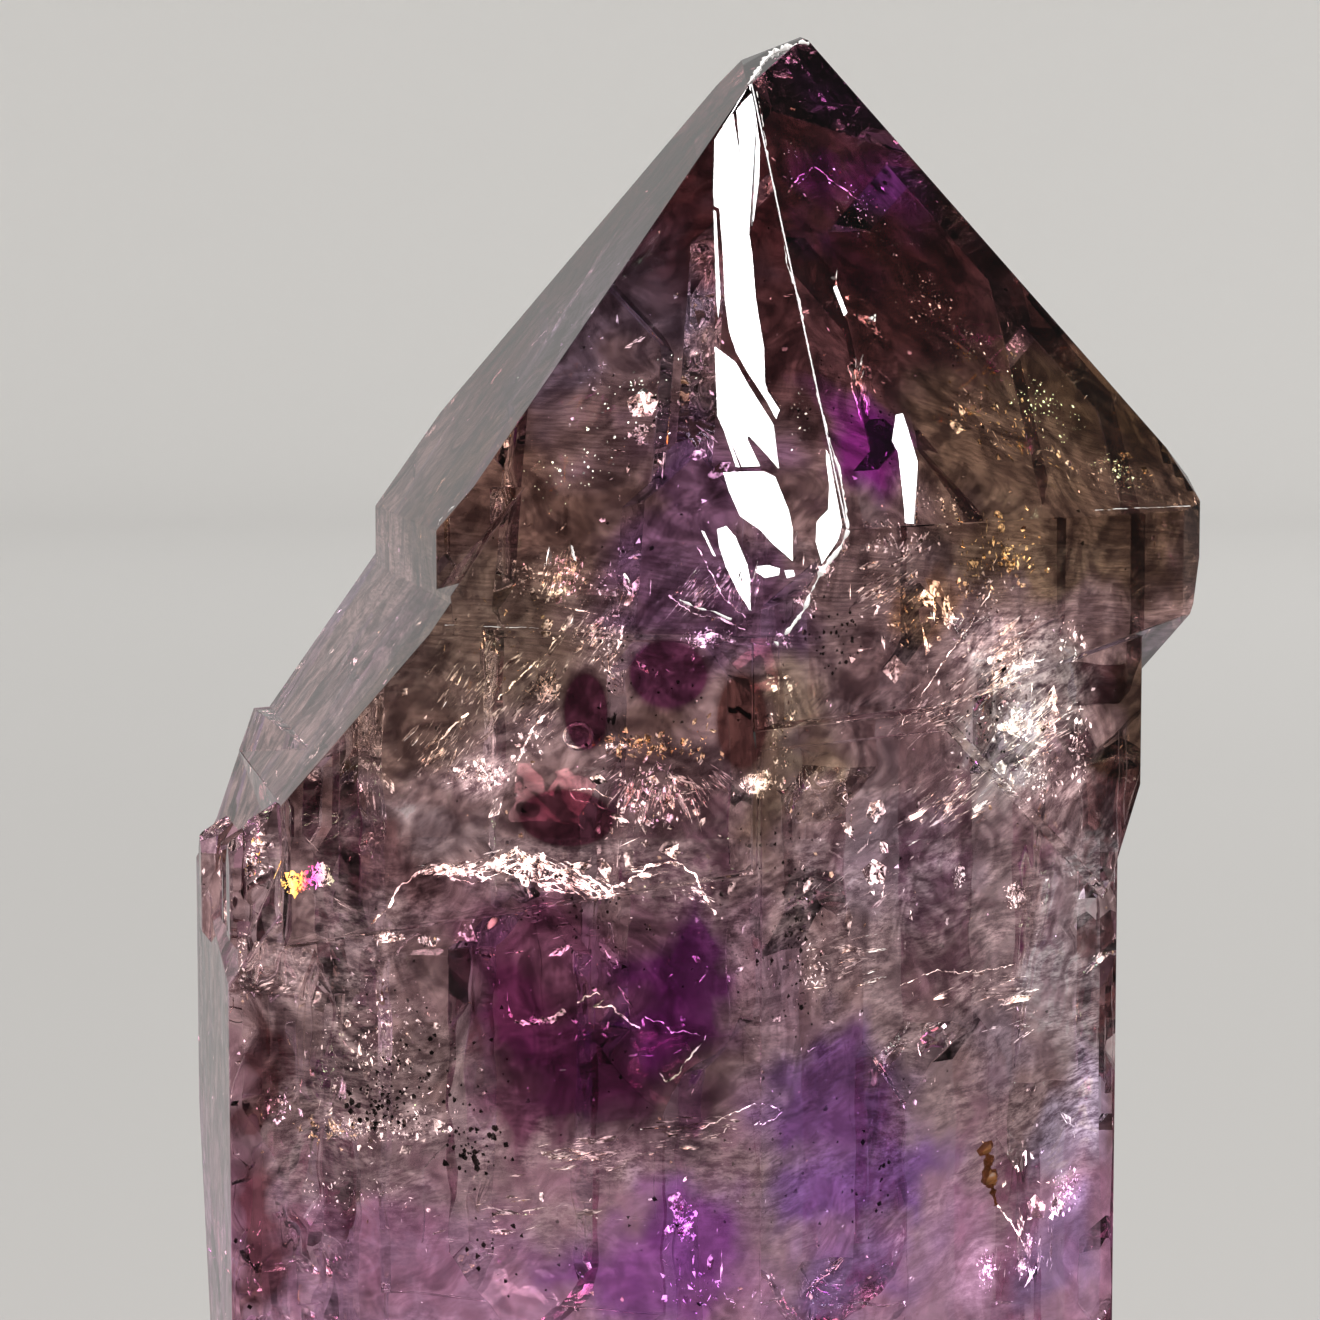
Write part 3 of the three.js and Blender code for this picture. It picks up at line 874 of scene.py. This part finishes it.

# Strokes are splinters that lie side by side. They rise steeply at the left of the neck and
# gently at its right, lie almost level in the bands of the stem, and stand in the tip.
# These films glow with painted light, as the other plates do.
stroke_film = bright_plate("stroke_film", (1.0, 0.97, 0.93), (1.0, 0.90, 0.84), 1.5)
ridge_film = bright_plate("ridge_film", (1.0, 0.98, 0.95), (1.0, 0.92, 0.86), 4.0)
# Each kind: its name, how far it rises in degrees, its film and its clouds.
STROKES = (
    (
        "left_strokes", 52, stroke_film,
        (
            ((470, 690), 0.9, (2.2, 0.6, 2.6), 170, 0.6),
            ((540, 690), 0.8, (1.3, 0.5, 2), 150, 0.5),
            ((440, 750), 0.8, (1.8, 0.6, 1.2), 160, 0.6),
            ((590, 640), 0.9, (1.2, 0.6, 1.2), 120, 0.5),
            ((700, 590), 0.5, (1.4, 0.3, 1.2), 120, 0.6),
        ),
    ),
    (
        "right_strokes", 29, stroke_film,
        (
            ((1000, 660), 0.9, (2.8, 0.6, 1.8), 520, 0.8),
            ((1040, 730), 1, (2.4, 0.7, 1.8), 420, 0.7),
            ((930, 720), 0.9, (2.6, 0.6, 1.4), 220, 0.8),
            ((890, 590), 0.9, (2.4, 0.6, 1.4), 160, 0.7),
            ((960, 800), 1, (3.6, 0.7, 1.4), 260, 0.9),
            ((880, 880), 1.2, (4, 0.8, 1.6), 120, 0.9),
        ),
    ),
    (
        "level_strokes", 6, stroke_film,
        (
            ((590, 1155), 0.7, (2.6, 0.3, 0.7), 160, 0.6),
            ((690, 1130), 0.7, (2.2, 0.3, 0.9), 120, 0.6),
            ((560, 930), 0.8, (4, 0.4, 1), 60, 0.5),
            ((600, 1040), 0.8, (4, 0.4, 1.6), 40, 0.5),
            ((1000, 1000), 0.9, (3.6, 0.5, 1.2), 160, 1),
            ((850, 960), 0.9, (3, 0.5, 1.4), 120, 0.9),
            ((500, 1215), 0.8, (5, 0.5, 1.6), 120, 0.6),
        ),
    ),
    (
        "falling_strokes", -26, ridge_film,
        (
            ((535, 862), 0.5, (1.4, 0.3, 0.4), 120, 0.5),
            ((585, 885), 0.5, (1.2, 0.3, 0.4), 110, 0.5),
            ((700, 890), 0.6, (0.8, 0.2, 0.6), 60, 0.4),
        ),
    ),
    (
        "rising_strokes", 14, ridge_film,
        (
            ((452, 869), 0.5, (1.6, 0.3, 0.3), 130, 0.5),
            ((500, 858), 0.5, (0.9, 0.3, 0.4), 80, 0.5),
            ((645, 872), 0.5, (1.1, 0.3, 0.3), 40, 0.4),
            ((390, 938), 0.6, (0.7, 0.3, 0.2), 90, 0.3),
        ),
    ),
    (
        "standing_strokes", 82, stroke_film,
        (
            ((862, 385), 0.6, (0.35, 0.3, 1.1), 90, 1),
            ((845, 300), 0.6, (0.5, 0.3, 1.6), 40, 0.7),
            ((560, 575), 0.7, (0.9, 0.4, 1), 160, 0.6),
            ((740, 590), 0.6, (0.9, 0.3, 1), 80, 0.6),
            ((1040, 1250), 0.8, (3, 0.5, 1.4), 80, 0.8),
        ),
    ),
)
for number, (title, rise, film, clouds) in enumerate(STROKES):
    fill_with_plates(
        title,
        clouds,
        film,
        seed=8000 + 200 * number,
        smallest=0.2,
        flatness=0.02,
        slimness=0.02,
        lean=rise,
        spread=0.22,
    )

# Sparks are the smallest breaks, close under the dark faces of the tip. Their strong glow is painted
# glints.
SPARKS = (
    ((860, 200), 0.5, (1.6, 0.3, 3.4), 240, 0.08),
    ((940, 300), 0.5, (2.8, 0.3, 3), 420, 0.09),
    ((1050, 400), 0.5, (2.6, 0.3, 2.2), 320, 0.1),
    ((1120, 470), 0.5, (1.6, 0.3, 1), 160, 0.1),
    ((790, 150), 0.4, (0.7, 0.3, 2.4), 60, 0.07),
    ((640, 380), 0.5, (2.6, 0.3, 3.4), 200, 0.08),
    ((560, 470), 0.5, (2.6, 0.3, 1.8), 160, 0.09),
    ((800, 400), 0.4, (0.5, 0.3, 3), 90, 0.08),
)
fill_with_plates(
    "tip_sparks",
    SPARKS,
    bright_plate("spark_film", (0.62, 1.0, 0.94), (0.80, 1.0, 0.70), 14.0, 0.4),
    seed=9600,
    smallest=0.02,
    slimness=0.5,
    flatness=0.3,
    margin=0.03,
)


# Rainbow break
# One crack by the left edge is so thin that it splits the light into colours. It is a cloud of
# plates like the others; these colours are painted on, from yellow to green along it, and glow as
# painted light.
RAINBOW_ENDS = ((280, 886), (336, 886))
RAINBOW_DEPTH = 0.5
RAINBOW = (
    (0.0, (0.95, 0.80, 0.25)),
    (0.3, (1.0, 0.45, 0.08)),
    (0.5, (0.9, 0.08, 0.30)),
    (0.7, (0.85, 0.25, 0.75)),
    (1.0, (0.45, 0.60, 0.35)),
)
RAINBOW_CLOUDS = (
    ((296, 884), RAINBOW_DEPTH, (0.6, 0.2, 0.5), 260, 0.22),
    ((319, 876), RAINBOW_DEPTH, (0.6, 0.2, 0.5), 300, 0.22),
)


def rainbow_film():
    """A film whose colour changes along its length, and which glows in that colour with painted light.
    """
    film = Recipe("rainbow_film")
    left, right = (inside(point, RAINBOW_DEPTH).x for point in RAINBOW_ENDS)
    ripple = (film.noise(film.place(), 3000, 2) - 0.5) * (0.6 * MM)
    run = film.between(film.part(film.place(), "X") + ripple, left, right)
    colour = film.node("ShaderNodeValToRGB", {"stops": RAINBOW}, [run])
    return film.finish(
        {
            "Base Color": colour,
            "Metallic": 1.0,
            "Roughness": 0.0,
            "Emission Color": colour,
            "Emission Strength": 4.0,
        }
    )


fill_with_plates("rainbow_break", RAINBOW_CLOUDS, rainbow_film(), seed=9800)


# Milky sheets
# Healed cracks lie like torn curtains a little behind the front faces, full of fine bubbles in
# rows. They make the stem and the neck hazy and streaked. The sheets are black, and their light is
# painted: they glow, brighter in their rows and in given places of painted light.
#
# Each sheet: its left, top, right and bottom in the picture, its depth in mm, how far its rows
# rise in degrees, how much of it hides what is behind, its places of painted light and its clear ones.
SHEETS = (
    (
        "neck_haze", (300, 545, 1118, 852), 1.5, 36, 0.32,
        (
            ((1005, 645), (2.2, 1.5), 0.9),
            ((1040, 705), (1.6, 1.6), 0.8),
            ((1050, 780), (1.6, 1.2), 0.7),
            ((478, 776), (1.3, 0.8), 1.3),
            ((540, 700), (0.9, 1.2), 0.5),
            ((560, 575), (1.2, 0.9), 0.4),
        ),
        (
            ((668, 674), (1.8, 1.5), 0.9),
            ((742, 722), (1.2, 2), 0.8),
            ((588, 708), (1.2, 1.7), 0.9),
            ((566, 818), (2.3, 1.4), 0.9),
            ((1125, 720), (1.2, 4.2), 0.9),
            ((640, 738), (1.8, 1), 0.6),
        ),
    ),
    (
        "stem_haze", (262, 838, 1100, 1660), 1.5, 8, 0.6,
        (
            ((590, 1160), (2.4, 0.6), 0.35),
            ((700, 1122), (1.8, 0.8), 0.35),
            ((375, 1120), (2.6, 0.7), 0.6),
            ((375, 1040), (2, 2), 0.2),
            ((1070, 1190), (0.8, 0.9), 1),
            ((1085, 1105), (0.9, 2.2), 0.65),
            ((978, 1272), (0.9, 1.3), 0.6),
        ),
        (
            ((570, 985), (6.2, 3.6), 0.95),
            ((620, 1075), (4.6, 1.5), 0.95),
            ((850, 1110), (3.2, 2.6), 0.45),
            ((670, 1255), (3.6, 2.4), 0.55),
        ),
    ),
)
FOOT_BOTTOM = 16 * MM
FOOT_TOP = 23 * MM
FOOT_MILK_GLOW = ((0.33, 0.245, 0.30), (0.56, 0.455, 0.52))
UPPER_MILK_GLOW = ((0.105, 0.070, 0.085), (0.76, 0.65, 0.65))
SHEET_STEPS = 40
SHEET_WAVE = 0.7 * MM


def milky_sheet(name, rise, share, painted_light_places, clear_places, depth):
    """Rows of bubbles that glow with painted light, brighter in painted pools of light, with gaps
    between them. The foot is calmer.
    """
    milk = Recipe(name)
    place = milk.place()
    sway = (milk.noise(place, 170, 1, 0.5, "Color") - (0.5, 0.5, 0.5)) * (0.002, 0.002, 0.002)
    bent = place + sway
    turn = math.radians(rise)
    run = milk.along(bent, (math.cos(turn), 0, math.sin(turn)))
    across = milk.along(bent, (-math.sin(turn), 0, math.cos(turn)))
    rows = milk.noise(milk.joined(run * 0.4, 0.0, across), 2800, 4, 0.80)
    gaps = milk.between(milk.noise(bent, 520, 3, 0.62), 0.32, 0.60)
    upper = milk.between(milk.part(place, "Z"), FOOT_BOTTOM, FOOT_TOP)
    painted_light_pools = 0.0
    for point, (wide, high), strength in painted_light_places:
        spot = inside(point, depth) / MM
        painted_light_pools = painted_light_pools + milk.within(place, spot, (wide, 6, high), 0.5, strength)
    clear = 0.0
    for point, (wide, high), strength in clear_places:
        spot = inside(point, depth) / MM
        clear = clear + milk.within(bent, spot, (wide, 6, high), 0.4, strength)
    dull, bright_glow = (milk.mix(upper, *pair) for pair in zip(FOOT_MILK_GLOW, UPPER_MILK_GLOW))
    # Painted light: the sheet's glow, calmer at the foot and brighter in its rows and pools.
    lit = milk.mix(milk.between(rows, 0.38, 0.66), dull, bright_glow) * (1 + painted_light_pools * 1.3)
    return milk.finish(
        {
            "Base Color": (0.0, 0.0, 0.0),
            "Specular IOR Level": 0.0,
            "Roughness": 0.6,
            "Alpha": (gaps * share + painted_light_pools * 0.5) * (1 - milk.between(clear, 0.0, 1.0)),
            "Emission Color": lit,
            "Emission Strength": 1.0,
        }
    )


def hang_sheet(name, corners, depth, milk):
    """A wavy sheet that follows the front faces at its depth."""
    left, top, right, bottom = corners
    mesh = bmesh.new()
    rows = []
    for down in range(SHEET_STEPS + 1):
        row = []
        for across in range(SHEET_STEPS + 1):
            point = (
                left + (right - left) * across / SHEET_STEPS,
                top + (bottom - top) * down / SHEET_STEPS,
            )
            spot = inside(point, depth)
            wave = noise.noise(spot * 160) * SHEET_WAVE
            row.append(mesh.verts.new(spot + Vector((0, wave, 0))))
        rows.append(row)
    for upper, lower in zip(rows, rows[1:]):
        for a, b, c, d in zip(upper, upper[1:], lower[1:], lower):
            mesh.faces.new((d, c, b, a)).smooth = True
    finished_piece(name, mesh, milk).visible_shadow = False


for title, corners, depth, rise, share, painted_light_places, clear_places in SHEETS:
    milk = milky_sheet(title, rise, share, painted_light_places, clear_places, depth)
    hang_sheet(title, corners, depth, milk)


# Dark grains
# Tiny grains of dull red-brown iron mineral, caught as the crystal grew. They crowd low on its
# left, and a few are strewn through the rest.
DARK_CLOUDS = (
    ((372, 1105), 0.35, (2, 0.3, 1), 110, 0.18),
    ((465, 1150), 0.35, (2, 0.3, 1.1), 120, 0.2),
    ((400, 1060), 0.5, (4.6, 0.4, 3), 170, 0.14),
    ((800, 920), 0.6, (2.8, 0.5, 4.6), 190, 0.14),
    ((990, 720), 0.5, (3, 0.4, 2.6), 120, 0.13),
    ((850, 640), 0.5, (2.4, 0.4, 2), 100, 0.12),
    ((480, 1240), 0.5, (8, 0.4, 3), 80, 0.22),
    ((880, 1180), 0.6, (6.5, 0.5, 3.6), 90, 0.18),
    ((880, 400), 0.4, (3, 0.3, 4), 80, 0.11),
    ((560, 920), 0.5, (6, 0.4, 2.4), 100, 0.13),
    ((620, 700), 0.5, (4, 0.4, 3.4), 100, 0.11),
)
ore = Recipe("iron_mineral")
ore_colour = ore.mottled(1800, 2.0, (0.003, 0.001, 0.001), (0.020, 0.006, 0.004))
iron_mineral = ore.finish({"Base Color": ore_colour, "Roughness": 0.45})
fill_with_plates(
    "dark_grains",
    DARK_CLOUDS,
    iron_mineral,
    seed=7000,
    strewn=300,
    smallest=0.065,
    flatness=0.9,
    slimness=0.75,
    margin=0.12,
)


# Bright seams
# Where a healed crack meets a growth face it leaves a thin crooked seam that catches the light. Its
# film also glows with painted light.
# Each seam: its points in the picture, its depth in mm, and its width in mm.
SEAMS = (
    (
        (
            (371, 925), (390, 905), (400, 886), (431, 865), (452, 872), (476, 876), (490, 862),
            (516, 848), (528, 865), (541, 887), (562, 882), (569, 868), (590, 879), (610, 897),
            (631, 879), (652, 865), (676, 862), (693, 872), (703, 893), (716, 915),
        ),
        0.6, 0.12,
    ),
    (((421, 873), (445, 866), (470, 874), (492, 880)), 0.5, 0.16),
    (((500, 858), (518, 850), (534, 858), (550, 868), (572, 878), (596, 892), (610, 898)), 0.5, 0.15),
    (((505, 866), (530, 880), (552, 878), (575, 888), (600, 884)), 0.7, 0.09),
    (((431, 868), (470, 884), (505, 872), (530, 880), (560, 892), (600, 890)), 0.7, 0.08),
    (((424, 768), (432, 752), (449, 730), (469, 712)), 0.8, 0.11),
    (((497, 700), (524, 672), (545, 655), (560, 634)), 0.8, 0.07),
    (((517, 765), (526, 745), (534, 728), (548, 712)), 0.8, 0.12),
    (((569, 789), (593, 789), (612, 800), (607, 808), (576, 800), (569, 789)), 0.6, 0.05),
    (((900, 985), (937, 971), (960, 973), (984, 971), (1015, 964)), 0.9, 0.03),
    (((700, 1128), (735, 1112), (760, 1104), (784, 1111), (762, 1124)), 0.7, 0.04),
    (((990, 592), (970, 625), (945, 660), (925, 690), (902, 725)), 0.7, 0.05),
    (((996, 1205), (1010, 1222), (1027, 1249)), 0.8, 0.09),
    (((697, 545), (712, 575), (725, 600), (745, 618)), 0.4, 0.06),
    (((668, 595), (690, 612), (718, 618), (745, 630)), 0.3, 0.09),
    (((690, 640), (712, 634), (735, 642)), 0.3, 0.14),
    (((814, 166), (830, 180), (845, 190), (858, 200)), 0.3, 0.06),
    (((788, 192), (800, 176), (812, 168)), 0.3, 0.05),
    (((849, 366), (852, 385), (857, 402), (860, 420)), 0.4, 0.08),
    (((855, 360), (860, 380), (866, 400), (868, 415)), 0.4, 0.06),
)
GOLDEN_SEAMS = (
    (((516, 1021), (528, 1024), (540, 1020), (552, 1020), (564, 1011)), 0.3, 0.26),
    (
        (
            (578, 1004), (586, 996), (597, 993), (604, 1000), (592, 1008), (610, 1006), (624, 1018),
            (640, 1028),
        ),
        0.3, 0.1,
    ),
    (((646, 1017), (664, 1024), (672, 1033), (684, 1030), (700, 1036)), 0.3, 0.07),
    (((660, 1072), (664, 1082), (678, 1074), (694, 1052), (706, 1036)), 0.4, 0.08),
)


def seam_tree():
    """The tree that turns a route into a crooked thread, thick in some places and thin in others."""
    seam = Growth("seam", Float="Width Crook Step", Material="Material")
    stretch = {"Curve": seam["Shape"], "Length": seam["Step"]}
    route = seam.node("GeometryNodeResampleCurve", {"mode": "LENGTH"}, stretch)
    spot = seam.node("GeometryNodeInputPosition")
    sway = (seam.noise(spot, 2400, 3, 0.6, "Color") - (0.5, 0.5, 0.5)) * seam["Crook"]
    crooked = seam.node("GeometryNodeSetPosition", None, {0: route, "Offset": sway})
    swell = seam.between(seam.noise(spot, 1900, 2, 0.6), 0.36, 0.66)
    circle = {"Resolution": 5, "Radius": 0.5}
    thread = {
        "Curve": crooked,
        "Profile Curve": seam.node("GeometryNodeCurvePrimitiveCircle", None, circle),
        "Scale": (swell * 0.85 + 0.15) * seam["Width"],
        "Fill Caps": True,
    }
    seam.finish(seam.node("GeometryNodeCurveToMesh", None, thread))
    return seam


SEAM = seam_tree()


def grow_threads(name, routes, material, crook=0.35, step=0.06):
    """One piece of crooked threads. Each route: its points, its depth and its width in mm."""
    collected = bmesh.new()
    for points, depth, width in routes:
        data = bpy.data.curves.new("route", "CURVE")
        data.dimensions = "3D"
        spline = data.splines.new("POLY")
        spline.points.add(len(points) - 1)
        for knot, point in zip(spline.points, points):
            knot.co = (*inside(point, depth), 1)
        route = shown("route", data)
        SEAM.grow(
            collected,
            route,
            Width=width * MM,
            Crook=crook * MM,
            Step=step * MM,
            Material=material,
        )
        bpy.data.objects.remove(route)
        bpy.data.curves.remove(data)
    return finished_piece(name, collected, material)


seam_film = bright_plate("seam_film", (1.0, 0.98, 0.95), (1.0, 0.90, 0.80), 7.0, 0.40)
golden_seam_film = bright_plate(
    "golden_seam_film", (0.55, 1.0, 0.42), (0.62, 0.95, 0.60), 14.0, 0.40
)
grow_threads("bright_seams", SEAMS, seam_film)
grow_threads("golden_seams", GOLDEN_SEAMS, golden_seam_film)


# Fan
# Slim bright plates fan out downwards from one point above the middle of the zigzag seam. Each
# turn of the fan has its own narrow cloud of plates that point along it.
FAN_MIDDLE = (664, 730)
FAN_TURNS = (214, 231, 246, 257, 269, 281, 292, 304, 320)  # degrees, from the right and upwards
FAN_REACHES = (78, 92, 84, 100, 90, 80, 96, 88, 94)  # points from the middle
FAN_SHARE = 0.8  # how far along its reach each cloud has its middle
# This film glows with painted light, as the other plates do.
fan_film = bright_plate("fan_film", (1.0, 0.90, 0.88), (1.0, 0.80, 0.84), 1.8)
for number, (turn, reach) in enumerate(zip(FAN_TURNS, FAN_REACHES)):
    spot = (
        FAN_MIDDLE[0] + math.cos(math.radians(turn)) * reach * FAN_SHARE,
        FAN_MIDDLE[1] - math.sin(math.radians(turn)) * reach * FAN_SHARE,
    )
    fill_with_plates(
        f"fan_{number + 1}",
        ((spot, 0.8, (0.5, 0.4, 0.7), 16, 0.9),),
        fan_film,
        seed=9900 + 10 * number,
        smallest=0.3,
        flatness=0.03,
        slimness=0.05,
        lean=turn,
        spread=0.14,
    )


# Iron needle
# A needle of rust-brown iron mineral stands low at the right, grown into the quartz. It is a
# thick dull thread, and the rust has a faint painted glow in its own colour, standing in for the light
# behind it.
NEEDLE = (((984, 1147), (989, 1160), (987, 1172), (992, 1186), (996, 1205)), 0.3, 0.95)
rust = Recipe("needle_rust")
rust_and_glow_colour = rust.mottled(2400, 3, (0.02, 0.006, 0.002), (0.30, 0.11, 0.03))
needle_rust = rust.finish(
    {
        "Base Color": rust_and_glow_colour,
        "Roughness": 0.5,
        # Painted light: a faint glow in the rust's colour.
        "Emission Color": rust_and_glow_colour,
        "Emission Strength": 0.4,
    }
)
grow_threads("iron_needle", [NEEDLE], needle_rust, 0.14, 0.05)


# Gas bubble
# A pocket in the quartz holds one bubble of gas, which shows as a ring. The bubble is smooth
# and round, a little flattened by the walls of its pocket.
BUBBLE_POINT = (578, 736)
BUBBLE_DEPTH = 1.0
BUBBLE_RADIUS = 0.62 * MM
BUBBLE_SHAPE = (1.0, 0.7, 0.9)
gas = Recipe("bubble_gas")
bubble_gas = gas.finish(
    {
        "Base Color": (0.92, 0.88, 0.92),
        "Roughness": 0.0,
        "IOR": 1 / QUARTZ_IOR,
        "Transmission Weight": 1.0,
    }
)
ball = bmesh.new()
bmesh.ops.create_uvsphere(ball, u_segments=40, v_segments=24, radius=BUBBLE_RADIUS)
bmesh.ops.scale(ball, vec=BUBBLE_SHAPE, verts=ball.verts)
bmesh.ops.translate(ball, vec=inside(BUBBLE_POINT, BUBBLE_DEPTH), verts=ball.verts)
for face in ball.faces:
    face.smooth = True
finished_piece("gas_bubble", ball, bubble_gas)


# Worn edges and painted highlights
# The tip's edges and its ragged rim are chipped and bruised. The crushed quartz there scatters
# the light as sugar does, so it shows as crooked white lines. Along the ridge these lines also
# stand in for a painted highlight, and all of them glow faintly with painted light.
EDGES = (
    (((757, 92), (763, 125), (769, 163), (780, 216), (787, 265)), 0, 0.05),
    (((787, 265), (799, 300), (808, 346), (818, 396), (829, 438)), 0, 0.08),
    (((829, 438), (839, 470), (845, 505), (848, 528)), 0, 0.14),
    (((748, 84), (754, 76), (759, 69), (764, 60), (772, 54)), 0, 0.26),
    (((770, 55), (776, 52), (783, 50), (790, 48)), 0, 0.44),
    (((790, 48), (796, 44), (802, 42), (808, 44)), 0, 0.24),
    (((848, 530), (840, 548), (830, 560), (821, 573)), 0, 0.22),
    (((821, 573), (812, 590), (803, 611), (790, 628), (776, 645)), 0, 0.3),
    (((680, 600), (697, 608), (715, 612), (731, 620)), 0, 0.12),
    (((445, 625), (490, 627), (540, 628)), 0, 0.03),
    (((1095, 510), (1140, 508), (1190, 506)), 0, 0.04),
    (((436, 532), (440, 520), (452, 508), (470, 496)), 0, 0.05),
)
crushed = Recipe("bruised_quartz")
crushed_quartz_and_glow = crushed.mottled(3000, 2, (0.80, 0.76, 0.74), (1.0, 0.98, 0.95))
bruised_quartz = crushed.finish(
    {
        "Base Color": crushed_quartz_and_glow,
        "Roughness": 0.5,
        # Painted light: a faint glow in the crushed quartz's colour.
        "Emission Color": crushed_quartz_and_glow,
        "Emission Strength": 0.35,
    }
)
grow_threads("worn_edges", EDGES, bruised_quartz, 0.12, 0.04)
bpy.data.objects.remove(carrier)


# The studio
# A wide pale dish under and round the crystal, so that every side has the same plain backdrop,
# a soft light overhead, and two narrow lights that stand where the tip faces mirror them.
DISH_RADIUS = 1.25
DISH_CURVE = 0.45
DISH_RIM = 0.62
DISH_STEPS = 96
CURVE_STEPS = 16

profile = [(0, 0), (0.1, 0)]
for step in range(CURVE_STEPS + 1):
    turn = math.pi / 2 * step / CURVE_STEPS
    out = DISH_RADIUS - DISH_CURVE + DISH_CURVE * math.sin(turn)
    profile.append((out, DISH_CURVE * (1 - math.cos(turn))))
profile.append((DISH_RADIUS, DISH_RIM))
bowl = bmesh.new()
knots = [bowl.verts.new((out, 0, height)) for out, height in profile]
runs = [bowl.edges.new(pair) for pair in zip(knots, knots[1:])]
bmesh.ops.spin(
    bowl, geom=[*knots, *runs], cent=(0, 0, 0), axis=UP,
    angle=2 * math.pi, steps=DISH_STEPS, use_merge=True,
)
bmesh.ops.remove_doubles(bowl, verts=bowl.verts, dist=0.01 * MM)
bmesh.ops.recalc_face_normals(bowl, faces=bowl.faces)
for face in bowl.faces:
    face.smooth = True
backdrop = bpy.data.meshes.new("backdrop")
bowl.to_mesh(backdrop)
bowl.free()
paper = Recipe("backdrop_paper")
# Painted shade: the paper is darker towards the middle, so that the floor, lit more strongly from
# overhead, matches the wall.
far = paper.between(paper.length(paper.place()), 0.05, 0.95)
paper_colour = paper.mix(far, (0.45, 0.437, 0.42), (0.88, 0.86, 0.83))
backdrop.materials.append(paper.finish({"Base Color": paper_colour, "Roughness": 0.9}))
dish = shown("backdrop", backdrop)
dish.visible_glossy = False


def area_light(name, place, target, width, height, radiance, upright):
    """A rectangle light that faces target. Its long side lies along upright."""
    light = bpy.data.lights.new(name, "AREA")
    light.shape = "RECTANGLE"
    light.size = width
    light.size_y = height
    light.energy = radiance * math.pi * width * height
    lamp = shown(name, light)
    toward = (target - place).normalized()
    side = toward.cross(upright).normalized()
    turned = Matrix((side, side.cross(toward), -toward)).transposed().to_4x4()
    turned.translation = place
    lamp.matrix_world = turned
    lamp.visible_camera = False


STRIP_DISTANCE = 1.0
STRIP_WIDTH = 0.06


def strip_light(name, top, bottom, face_normal, face_distance, lean, radiance):
    """A narrow light that shows in the leaned facets of a tip face from top to bottom."""
    normal = (face_normal + lean * math.tan(GLINT_TILT)).normalized()
    on_face = AXIS + face_normal * face_distance
    ends = []
    for point in (top, bottom):
        sight = sight_to(point)
        place = EYE + sight * ((on_face - EYE).dot(face_normal) / sight.dot(face_normal))
        mirrored = sight - normal * (2 * sight.dot(normal))
        ends.append(place + mirrored * STRIP_DISTANCE)
    length = ends[0] - ends[1]
    middle = (ends[0] + ends[1]) / 2
    area_light(name, middle, place, STRIP_WIDTH, length.length, radiance, length.normalized())


strip_light("left_strip", (740, 20), (760, 640), LEFT_TIP_FACE, 35.49 * MM, LEFT_LEAN, 50.0)
strip_light("right_strip", (860, 250), (905, 560), RIGHT_TIP_FACE, 39.03 * MM, RIGHT_LEAN, 40.0)
OVERHEAD = Vector((0.24, -0.163, 0.955)) * 1.2
MIDDLE = AXIS + UP * (40 * MM)
area_light("overhead_softbox", MIDDLE + OVERHEAD, MIDDLE, 0.5, 0.5, 20.5, Vector((0, 1, 0)))

# The room is dark to the front and lighter behind, and light that has passed through the
# crystal meets an even grey.
ROOM_LOW = 0.05
ROOM_RISE = 0.36
THROUGH_LIGHT = 0.34
world = bpy.data.worlds.new("room")
world.use_nodes = True
bpy.context.scene.world = world
sky = NodeSheet(world.node_tree)
sky.tree.nodes.clear()
direction = sky.node("ShaderNodeTexCoord", output="Generated")
ahead = sky.between(sky.part(direction, "Y"), 0.1, 0.75)
above = sky.between(sky.part(direction, "Z"), 0.4, 0.7)
level = ROOM_LOW + ROOM_RISE * ahead * (1 - above)
leaving = sky.node("ShaderNodeLightPath", output="Is Transmission Ray")
level = level * (1 - leaving) + THROUGH_LIGHT * leaving
lit = sky.joined(level, level, level) * (1.0, 0.985, 0.96)
glow = sky.node("ShaderNodeBackground", None, {"Color": lit})
room = sky.tree.nodes.new("ShaderNodeOutputWorld")
sky.tree.links.new(glow.socket, room.inputs["Surface"])
scene = bpy.context.scene
scene.view_settings.view_transform = "Standard"
scene.cycles.max_bounces = 7
scene.cycles.diffuse_bounces = 1
scene.cycles.glossy_bounces = 10
scene.cycles.transmission_bounces = 12
scene.cycles.transparent_max_bounces = 16
